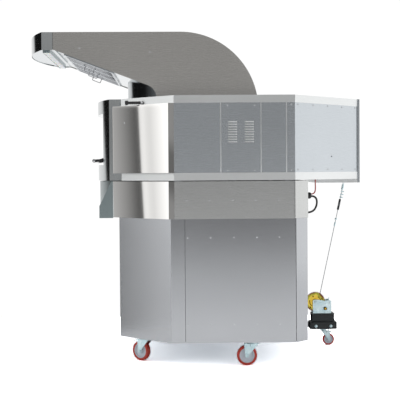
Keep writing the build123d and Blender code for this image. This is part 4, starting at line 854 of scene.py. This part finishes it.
# Thimble's shank, and three wire-rope grips with their nuts towards the rear
SHANK = [(0.003, 0.001), (0.0062, 0.002), (0.0078, 0.006), (0.0078, 0.034), (0.0066, 0.040), (0.003, 0.041)]
fittings = [along_rope("shank", SHANK)]
for height in (0.051, 0.071, 0.091):
    low, high = (-0.0065, -0.0085, -height - 0.0045), (0.0055, 0.0085, -height + 0.0045)
    fittings.append(block("saddle", low, high, 0.0015, rope_place))
    for side in SIDES:
        leg_place = rope_place @ shift((0, 0.0055 * side, -height)) @ ALONG_X.inverted()
        fittings.append(turned("leg", [(0.0022, 0.004), (0.0022, 0.0165), (0.0016, 0.0172)], leg_place, 12))
        fittings.append(hexagon("nut", 0.0044, 0.0065, 0.0105, leg_place))
# Lock nut and ferrule further down, and the eye under the rear pan that the rope hangs from
LOCK = [(0.004, 0.236), (0.0075, 0.2368), (0.008, 0.239), (0.008, 0.245), (0.0075, 0.2472), (0.004, 0.248)]
FERRULE = [(0.003, 0.262), (0.0046, 0.263), (0.005, 0.266), (0.005, 0.288), (0.0046, 0.291), (0.003, 0.292)]
EYE_PLATE = [(0.0066, -0.0015), (0.007, -0.001), (0.007, 0.0), (0.004, 0.0)]
EYE = [(0.0035, 0.0), (0.0048, -0.005), (0.0035, -0.0105), (0.0, -0.0125), (-0.0035, -0.0105),
       (-0.0048, -0.005), (-0.0035, 0.0)]
fittings += [
    along_rope("nut", LOCK),
    along_rope("ferrule", FERRULE),
    turned("eye_plate", EYE_PLATE, shift((0, 1.020, 1.109)), 24),
    wire("eye", [(0, 1.020 + y, 1.1085 + z) for y, z in EYE], 0.0016, 5),
]
rope_fittings = give(
    joined("rope_fittings_dressed", fittings), "zinc_plate", stands_for=("rope_fittings",)
)
# Turnbuckle: two black ends joined by two bars
UPPER = [(0.0035, 0.104), (0.0064, 0.105), (0.0072, 0.108), (0.0072, 0.124), (0.0048, 0.128)]
LOWER = [(0.0048, 0.155), (0.0072, 0.159), (0.0072, 0.175), (0.0064, 0.178), (0.0035, 0.179)]
BAR = [(0.0020, -0.161), (0.0025, -0.160), (0.0025, -0.123), (0.0020, -0.122)]
buckle = [along_rope("upper_end", UPPER), along_rope("lower_end", LOWER)]
buckle += [turned("bar", BAR, rope_place @ shift((0.0047 * side, 0, 0)), 12) for side in SIDES]
turnbuckle = give(joined("turnbuckle", buckle), blackened, "machine")

# Cable gland with its two leads
gland_place = facing((0.630, 0.687, 1.034), (0, 1, 0))
gland = [
    turned("gland_foot", [(0.021, 0.0), (0.021, 0.0035), (0.0205, 0.0042), (0.019, 0.0042)], gland_place, 40),
    hexagon("gland_body", 0.0208, 0.0042, 0.0125, gland_place),
    turned("gland_dome", [(0.0185, 0.0125), (0.019, 0.0135), (0.019, 0.0225), (0.0178, 0.0262),
                          (0.0155, 0.0290), (0.0145, 0.0300)], gland_place, 40),
]
for number in range(16):
    angle = math.tau * number / 16
    spot = gland_place @ Matrix.Rotation(angle, 4, "Z") @ shift((0.0188, 0, 0))
    gland.append(block("grip", (-0.001, -0.0012, 0.0145), (0.0012, 0.0012, 0.0215), 0.0004, spot))
give(joined("cable_gland_dressed", gland), "black_plastic", stands_for=("cable_gland",))


def lead(name, points, radius, material, node):
    """A cable on its own smooth line, between the gland and the machine."""
    piece = smooth_line(name, points, 12, radius, 4)
    bpy.context.scene.collection.objects.link(piece)
    give(piece, material, "machine", stands_for=(node,))


BLACK_ROUTE = [(0.630, 0.718, 1.030), (0.630, 0.736, 1.029), (0.630, 0.752, 1.012), (0.630, 0.753, 0.978),
               (0.630, 0.739, 0.945), (0.630, 0.712, 0.929), (0.630, 0.688, 0.928)]
RED_ROUTE = [(0.630, 0.718, 1.043), (0.630, 0.730, 1.044), (0.630, 0.742, 1.056), (0.630, 0.744, 1.080),
             (0.630, 0.743, 1.105), (0.630, 0.743, 1.133)]
lead("black_lead_dressed", BLACK_ROUTE, 0.006, "lead_black", "black_lead")
lead("red_lead_dressed", RED_ROUTE, 0.00375, "lead_red", "red_lead")


# Grease filters: a channel frame round expanded metal, with a knitted pad behind it
SLOPE = math.radians(20.8)
SLOPE_MID = (-0.65673, 1.869746)
filter_places = [
    shift((x, *SLOPE_MID)) @ Matrix.Rotation(-SLOPE, 4, "X") for x in (-0.352, 0, 0.352)
]
FILTER_HALF = Vector((0.172, 0.163))


def expanded_metal(name, half, pitch, strand, height):
    """Sheet of diamond cells on its own z = height, cut to a rectangle."""
    let_go()
    reach = 1.5 * half.length
    bpy.ops.mesh.primitive_grid_add(
        x_subdivisions=int(2 * reach / pitch), y_subdivisions=int(2 * reach / pitch), size=2 * reach,
        rotation=(0, 0, math.radians(45)), location=(0, 0, height),
    )
    piece = keep(bpy.context.object, name)
    for vertex in piece.data.vertices:
        vertex.co.x *= 0.78
    bpy.ops.object.mode_set(mode="EDIT")
    for way in ((1, 0, 0), (-1, 0, 0), (0, 1, 0), (0, -1, 0)):
        edge = (way[0] * half.x, way[1] * half.y, 0)
        bpy.ops.mesh.select_all(action="SELECT")
        bpy.ops.mesh.bisect(plane_co=edge, plane_no=way, clear_outer=True)
    bpy.ops.object.mode_set(mode="OBJECT")
    modified(piece, "WIREFRAME", thickness=strand, use_even_offset=False, use_boundary=True)
    lift = shift((0, 0, height))
    piece.data.transform(lift @ Matrix.Diagonal((1, 1, 0.3, 1)) @ lift.inverted())
    return smooth(piece, 30)


inner = FILTER_HALF - Vector((0.013, 0.013))
metal = expanded_metal("expanded_metal", inner, 0.0190, 0.0028, -0.0088)
give(copies(metal, "filter_expanded_metal", filter_places), rope_wire, "machine")
pad = block("pad", (-inner.x, -inner.y, -0.0072), (inner.x, inner.y, 0.0045))
give(copies(pad, "filter_knitted_pads", filter_places), knitted, "machine")
x, y = FILTER_HALF
RAIL = 0.014
rail_outlines = [oblong(x, y, 0.004), oblong(x - RAIL, y - RAIL, 0.002)]
parts = [cut_sheet("frame", rail_outlines, -0.010, 0.010, Matrix(), 0.0015)]
EAR = [(-0.006, 0.0065, 0.001), (0.006, 0.0065, 0.001), (0.006, -0.0042, 0.005), (-0.006, -0.0042, 0.005)]
# Two ears for the bail's ends, on a bridge each
for side in SIDES:
    ear_place = shift((0, side * 0.035, -0.0155)) @ ALONG_Y
    low, high = sorted((0, -side * 0.006))
    ear_outlines = [rounded(EAR, 0.002, 5), ring(0.0029, sides=16)]
    parts.append(cut_sheet("ear", ear_outlines, low, high, ear_place, 0.0005))
    parts.append(block("bridge", (-0.014, side * 0.038 - 0.006, -0.0106),
                       (0.014, side * 0.038 + 0.006, -0.0094), 0.0005))
frames = copies(joined("filter_frame", parts), "filter_frames", filter_places)
give(frames, "brushed_panels", stands_for=("grease_filters",))

# Lamp under the front of the hood: an opal cover in a steel channel with end caps
lamp_y = -0.923
lamp_place = across((0, lamp_y, 1.942))
CHANNEL = [(-0.022, 0.008), (-0.022, -0.0062), (-0.0205, -0.0062), (-0.0205, 0.0064), (0.0205, 0.0064),
           (0.0205, -0.0062), (0.022, -0.0062), (0.022, 0.008)]
lamp_parts = [cut_sheet("channel", [CHANNEL], -0.500, 0.500, lamp_place, 0.0002)] + [
    block("cap", (x0, lamp_y - 0.022, 1.9342), (x1, lamp_y + 0.022, 1.9497), 0.0015)
    for x0, x1 in ((-0.500, -0.492), (0.492, 0.500))
]
give(joined("lamp_channel", lamp_parts), "dark_panel")
OPAL = [(-0.0203, 0.006, 0), (-0.0203, -0.0045, 0.004), (-0.013, -0.008, 0.006), (0.013, -0.008, 0.006),
        (0.0203, -0.0045, 0.004), (0.0203, 0.006, 0)]
opal_bar = cut_sheet("lamp_opal_cover", [rounded(OPAL, 0.002, 6)], -0.4915, 0.4915, lamp_place, 0.0005)
give(opal_bar, "lamp_cover", stands_for=("hood_lamp",))

# Door: its handle, window frame and screws
handle_place = shift((0, -0.651, 1.261)) @ ALONG_X
bar = turned("handle_bar", both_ends([(0.0062, -0.250), (0.0084, -0.2492), (0.009, -0.2475)]), handle_place)
give(bar, "bar_steel", "door", ("door_handle",))
ARM = [(-0.577, 1.285, 0.002), (-0.577, 1.262, 0.004), (-0.600, 1.257, 0.02), (-0.6415, 1.251, 0.004),
       (-0.6445, 1.2525, 0.003), (-0.6445, 1.268, 0.003), (-0.6415, 1.2705, 0.004), (-0.612, 1.272, 0.02)]
CLAMP = both_ends([(0.0094, -0.0085), (0.0112, -0.0078), (0.0116, -0.006)])
arms = []
for x in (-0.230, 0.230):
    arms.append(cut_sheet("arm", [rounded(ARM, 0.003, 5)], x - 0.007, x + 0.007, across((0, 0, 0)), 0.0018))
    arms.append(turned("clamp", CLAMP, handle_place @ shift((0, 0, x))))
give(joined("door_handle_arms", arms), "black_plastic", "door")
WINDOW_Z = 1.4135
bezel_outlines = [oblong(0.262, 0.107, 0.012, 6), oblong(0.246, 0.091, 0.008, 6)]
bezel_place = facing((0, -0.577, WINDOW_Z), (0, -1, 0))
give(cut_sheet("door_window_frame", bezel_outlines, 0.0, 0.0028, bezel_place, 0.0008), "bar_steel", "door")
screw_spots = [(side * 0.2545, z) for side in SIDES for z in (-0.07, 0.0, 0.07)]
screw_spots += [(x, side * 0.0995) for side in SIDES for x in (-0.19, -0.065, 0.065, 0.19)]
screw_places = [facing((x, -0.5798, WINDOW_Z + z), (0, -1, 0)) for x, z in screw_spots]
give(copies(button_screw(0.0036), "door_window_screws", screw_places), "bar_steel", "door")

# Control panel on the left stile: a framed film with a display window and push buttons
PANEL_OUT = Vector((-0.357541, -0.933897, 0))
panel_place = facing(Vector((-0.401396, -0.568889, 1.397)), PANEL_OUT)
frame_outlines = [oblong(0.0418, 0.1148, 0.007, 6), oblong(0.0378, 0.1108, 0.005, 6)]
give(cut_sheet("panel_frame", frame_outlines, 0.0, 0.0016, panel_place, 0.0006), "bar_steel")
display_place = panel_place @ shift((0, 0.075, 0))
display = cut_sheet("panel_display", [oblong(0.026, 0.0135, 0.003, 6)], 0.0, 0.0012, display_place, 0.0005)
give(display, "oven_glass")
BUTTON = [(0.0082, -0.0002), (0.0084, 0.0006), (0.0080, 0.0012), (0.0066, 0.0012), (0.0062, 0.0020),
          (0.0055, 0.0026), (0.0030, 0.0028)]
button_places = [panel_place @ shift((x, y, 0)) for y in (0.035, 0.010, -0.015) for x in (-0.018, 0.018)]
give(copies(turned("button", BUTTON, Matrix(), 28, 50), "panel_push_buttons", button_places), "bar_steel")
knob_place = panel_place @ shift((0, -0.070, 0))
marks = []
for number in range(7):
    turn = Matrix.Rotation(math.radians(30 + 20 * number), 4, "Z")
    marks.append(block("mark", (-0.0012, -0.0004, -0.0001), (0.0012, 0.0004, 0.0002), 0.0001,
                       knob_place @ turn @ shift((0.0225, 0, 0))))
give(joined("knob_dial_marks", marks), "lamp_cover")
SKIRT = [(0.0165, 0.0006), (0.0178, 0.0010), (0.0180, 0.0022), (0.0178, 0.0034), (0.0150, 0.0050),
         (0.0140, 0.0120), (0.0130, 0.0140), (0.0060, 0.0143)]
skirt = turned("skirt", SKIRT, knob_place, 48)
handgrip = block("grip", (-0.0165, -0.0034, 0.0045), (0.0165, 0.0034, 0.0206), 0.0018, knob_place)
pointer = block("pointer", (0.0060, -0.0005, 0.0204), (0.0160, 0.0005, 0.0208), 0.0001, knob_place)
give(joined("power_knob_moulded", [skirt, handgrip]), "black_plastic", "knob", ("power_knob",))
give(pointer, "lamp_cover", "knob")

# Damper's pull grip: moulded, fluted, with a domed end, on its steel rod
damper_axis = shift((0.623, 0, 1.612)) @ ALONG_Y
flutes = [(0.0075, 0.4290), (0.0112, 0.4284), (0.0136, 0.4262), (0.0144, 0.4225), (0.0144, 0.4180),
          (0.0136, 0.4140), (0.0112, 0.4100), (0.0094, 0.4060)]
for step in range(5):
    edge = 0.4030 - 0.0130 * step
    flutes += [(0.0084, edge), (0.0084, edge - 0.0020), (0.0092, edge - 0.0030), (0.0092, edge - 0.0110)]
flutes += [(0.0090, 0.3330), (0.0078, 0.3312)]
grip = turned("damper_grip", [(r, h) for r, h in reversed(flutes)], damper_axis, 32, 50)
give(grip, "black_plastic", "damper", ("damper_rod",))
ROD = [(0.0052, 0.2220), (0.0058, 0.2228), (0.0060, 0.2240), (0.0060, 0.3330)]
give(turned("damper_pull_rod", ROD, damper_axis, 24), "bar_steel", "damper")
BUSH = [(0.0100, -0.0004), (0.0100, 0.0010), (0.0090, 0.0016), (0.0066, 0.0016)]
give(turned("damper_bush", BUSH, facing((0.623, -0.3212, 1.612), (1, -1, 0)), 28), blackened)


# Stage: a pale floor, a bright studio that the steel reflects, and one large soft light
let_go()
bpy.ops.mesh.primitive_plane_add(size=1)
floor_place = shift((4.25, 2.2, 0)) @ Matrix.Diagonal((11.5, 7.6, 1, 1))
floor = keep(bpy.context.object, "studio_floor", floor_place)
sweep = bpy.data.materials.new("matt_white_sweep")
sweep.use_nodes = True
tree = sweep.node_tree
tree.nodes.clear()
rays = add_node(tree, "LightPath")
side = add_node(tree, "NewGeometry")
# Seen directly the sweep is lit as far up as paper white; the steel sees it dimmer
paper = add_node(
    tree, "Mix", {"data_type": "RGBA"}, _0=rays.outputs["Is Camera Ray"], _6=(1.3, 1.3, 1.31, 1),
    _7=(3.8, 3.8, 3.85, 1),
)
matt = add_node(tree, "BsdfDiffuse", Color=paper.outputs[2])
clear = add_node(tree, "BsdfTransparent")
# From below it is clear, so that the underside shows
under = add_node(
    tree, "Math", {"operation": "MULTIPLY"}, _0=side.outputs["Backfacing"], _1=rays.outputs["Is Camera Ray"]
)
both = add_node(tree, "MixShader", _0=under, _1=matt, _2=clear)
add_node(tree, "OutputMaterial", Surface=both)
floor.data.materials.append(sweep)
floor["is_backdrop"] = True

# The studio round the machine, by the compass: T runs from 0 at the front (-Y) through the far side,
# the rear and the camera's side back to 1. The sheet metal shows what stands there: a white wall
# behind, dark flats at the far front, a half-dark room beyond the camera.
FULL = 1.8  # brightness of a full white
compass = [
    (0.0, 1.0), (0.006, 0.40), (0.013, 0.06), (0.045, 0.035), (0.06, 0.006), (0.142, 0.004), (0.150, 0.36),
    (0.168, 0.46), (0.20, 0.46), (0.235, 0.56), (0.30, 0.62), (0.42, 0.72), (0.50, 0.80), (0.58, 0.70),
    (0.64, 0.24), (0.69, 0.19), (0.72, 0.21), (0.742, 0.21), (0.745, 0.11), (0.755, 0.11), (0.758, 0.21),
    (0.79, 0.21), (0.85, 0.20), (0.91, 0.38), (0.96, 0.9), (1.0, 1.0),
]
# What the two mirror-bright front corners see, very near straight ahead: upright bars of light
bars = [
    (0.0, 0.43), (0.18, 0.34), (0.34, 0.20), (0.455, 0.085), (0.50, 0.088), (0.515, 0.70), (0.55, 0.74),
    (0.60, 0.64), (0.64, 0.62), (0.72, 0.76), (0.85, 1.0), (1.0, 1.0),
]
world = bpy.data.worlds.new("studio")
bpy.context.scene.world = world
world.use_nodes = True
tree = world.node_tree
tree.nodes.clear()
toward = add_node(tree, "TexCoord")
x, y, z = add_node(tree, "SeparateXYZ", Vector=toward.outputs["Generated"]).outputs
far_x = add_node(tree, "Math", {"operation": "MULTIPLY"}, _0=x, _1=-1.0)
front = add_node(tree, "Math", {"operation": "MULTIPLY"}, _0=y, _1=-1.0)
bearing = add_node(tree, "Math", {"operation": "ARCTAN2"}, _0=far_x, _1=front)
turn = add_node(tree, "Math", {"operation": "DIVIDE"}, _0=bearing, _1=math.tau)
# The edges between light and dark lean with the height
turn = add_node(tree, "Math", {"operation": "MULTIPLY_ADD"}, _0=z, _1=-0.25, _2=turn)
turn = add_node(tree, "Math", {"operation": "WRAP"}, _0=turn, _1=1.0, _2=0.0)
around = add_node(tree, "ValToRGB", {"stops": compass}, Fac=turn)
# The bars lean too, and stand between two edges on the slant of a ray from straight ahead
BARS_FROM, BARS_TO = -0.07, 0.03
lean = add_node(tree, "Math", {"operation": "MULTIPLY_ADD"}, _0=z, _1=0.046, _2=x)
slant = add_node(tree, "Math", {"operation": "DIVIDE"}, _0=lean, _1=front)
reach = add_node(
    tree, "MapRange", {"clamp": True}, Value=slant, From_Min=BARS_FROM, From_Max=0.01, To_Min=0.0, To_Max=1.0
)
ahead_bars = add_node(tree, "ValToRGB", {"stops": bars}, Fac=reach)
left_edge = add_node(tree, "Math", {"operation": "GREATER_THAN"}, _0=slant, _1=BARS_FROM)
right_edge = add_node(tree, "Math", {"operation": "LESS_THAN"}, _0=slant, _1=BARS_TO)
in_front = add_node(tree, "Math", {"operation": "GREATER_THAN"}, _0=front, _1=0.5)
inside = add_node(tree, "Math", {"operation": "MULTIPLY"}, _0=left_edge, _1=right_edge)
inside = add_node(tree, "Math", {"operation": "MULTIPLY"}, _0=inside, _1=in_front)
walls = add_node(tree, "Mix", {"data_type": "RGBA"}, _0=inside, _6=around, _7=ahead_bars)
# A light box stands on the bars
box_low = add_node(tree, "MapRange", Value=z, From_Min=0.060, From_Max=0.066, To_Min=0.0, To_Max=1.0)
box_side = add_node(tree, "Math", {"operation": "COMPARE"}, _0=slant, _1=0.20, _2=0.26)
box = add_node(tree, "Math", {"operation": "MULTIPLY"}, _0=box_low, _1=box_side)
box = add_node(tree, "Math", {"operation": "MULTIPLY"}, _0=box, _1=in_front)
walls = add_node(tree, "Mix", {"data_type": "RGBA"}, _0=box, _6=walls.outputs[2], _7=(1, 1, 1, 1))
# Overhead the walls give way to a large soft ceiling
CEILING = 0.36
overhead = add_node(
    tree, "MapRange", {"interpolation_type": "SMOOTHSTEP"}, Value=z, From_Min=0.22, From_Max=0.75, To_Min=0.0,
    To_Max=1.0,
)
room = add_node(
    tree, "Mix", {"data_type": "RGBA"}, _0=overhead, _6=walls.outputs[2], _7=(CEILING, CEILING, CEILING, 1)
)
# Seen directly the studio is paper white
PAPER = 1.02 / FULL
rays = add_node(tree, "LightPath")
seen = add_node(
    tree, "Mix", {"data_type": "RGBA"}, _0=rays.outputs["Is Camera Ray"], _6=room.outputs[2],
    _7=(PAPER, PAPER, PAPER, 1),
)
studio = add_node(tree, "Background", Color=seen.outputs[2], Strength=FULL)
add_node(tree, "OutputWorld", Surface=studio)
bpy.context.scene.view_settings.view_transform = "Standard"

soft_box = bpy.data.lights.new("soft_box", "AREA")
soft_box.energy, soft_box.size = 160, 5
lamp = bpy.data.objects.new("soft_box", soft_box)
lamp.matrix_world = shift((-0.6, 0.2, 6.5))
bpy.context.scene.collection.objects.link(lamp)

# The camera stands level with the middle of the chamber, on the right-hand side
# Focal length in pixels of a 400 pixel picture
LENS, PICTURE = 1056, 400
stand = Vector((7.146, -0.1407, 1.190))
yaw, pitch, roll = 0.026, math.atan(29 / LENS), math.radians(0.4)
ahead = Vector((-1, yaw, 0)).normalized() * math.cos(pitch) - UP * math.sin(pitch)
right = ahead.cross(UP).normalized()
top = right.cross(ahead)
top, right = top * math.cos(roll) + right * math.sin(roll), right * math.cos(roll) - top * math.sin(roll)
camera = bpy.data.objects.new("studio_camera", bpy.data.cameras.new("studio_camera"))
bpy.context.scene.collection.objects.link(camera)
camera.data.sensor_width, camera.data.lens = 36, 36 * LENS / PICTURE
camera.matrix_world = shift(stand) @ Matrix((right, top, -ahead)).transposed().to_4x4()
bpy.context.scene.camera = camera

low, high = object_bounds()
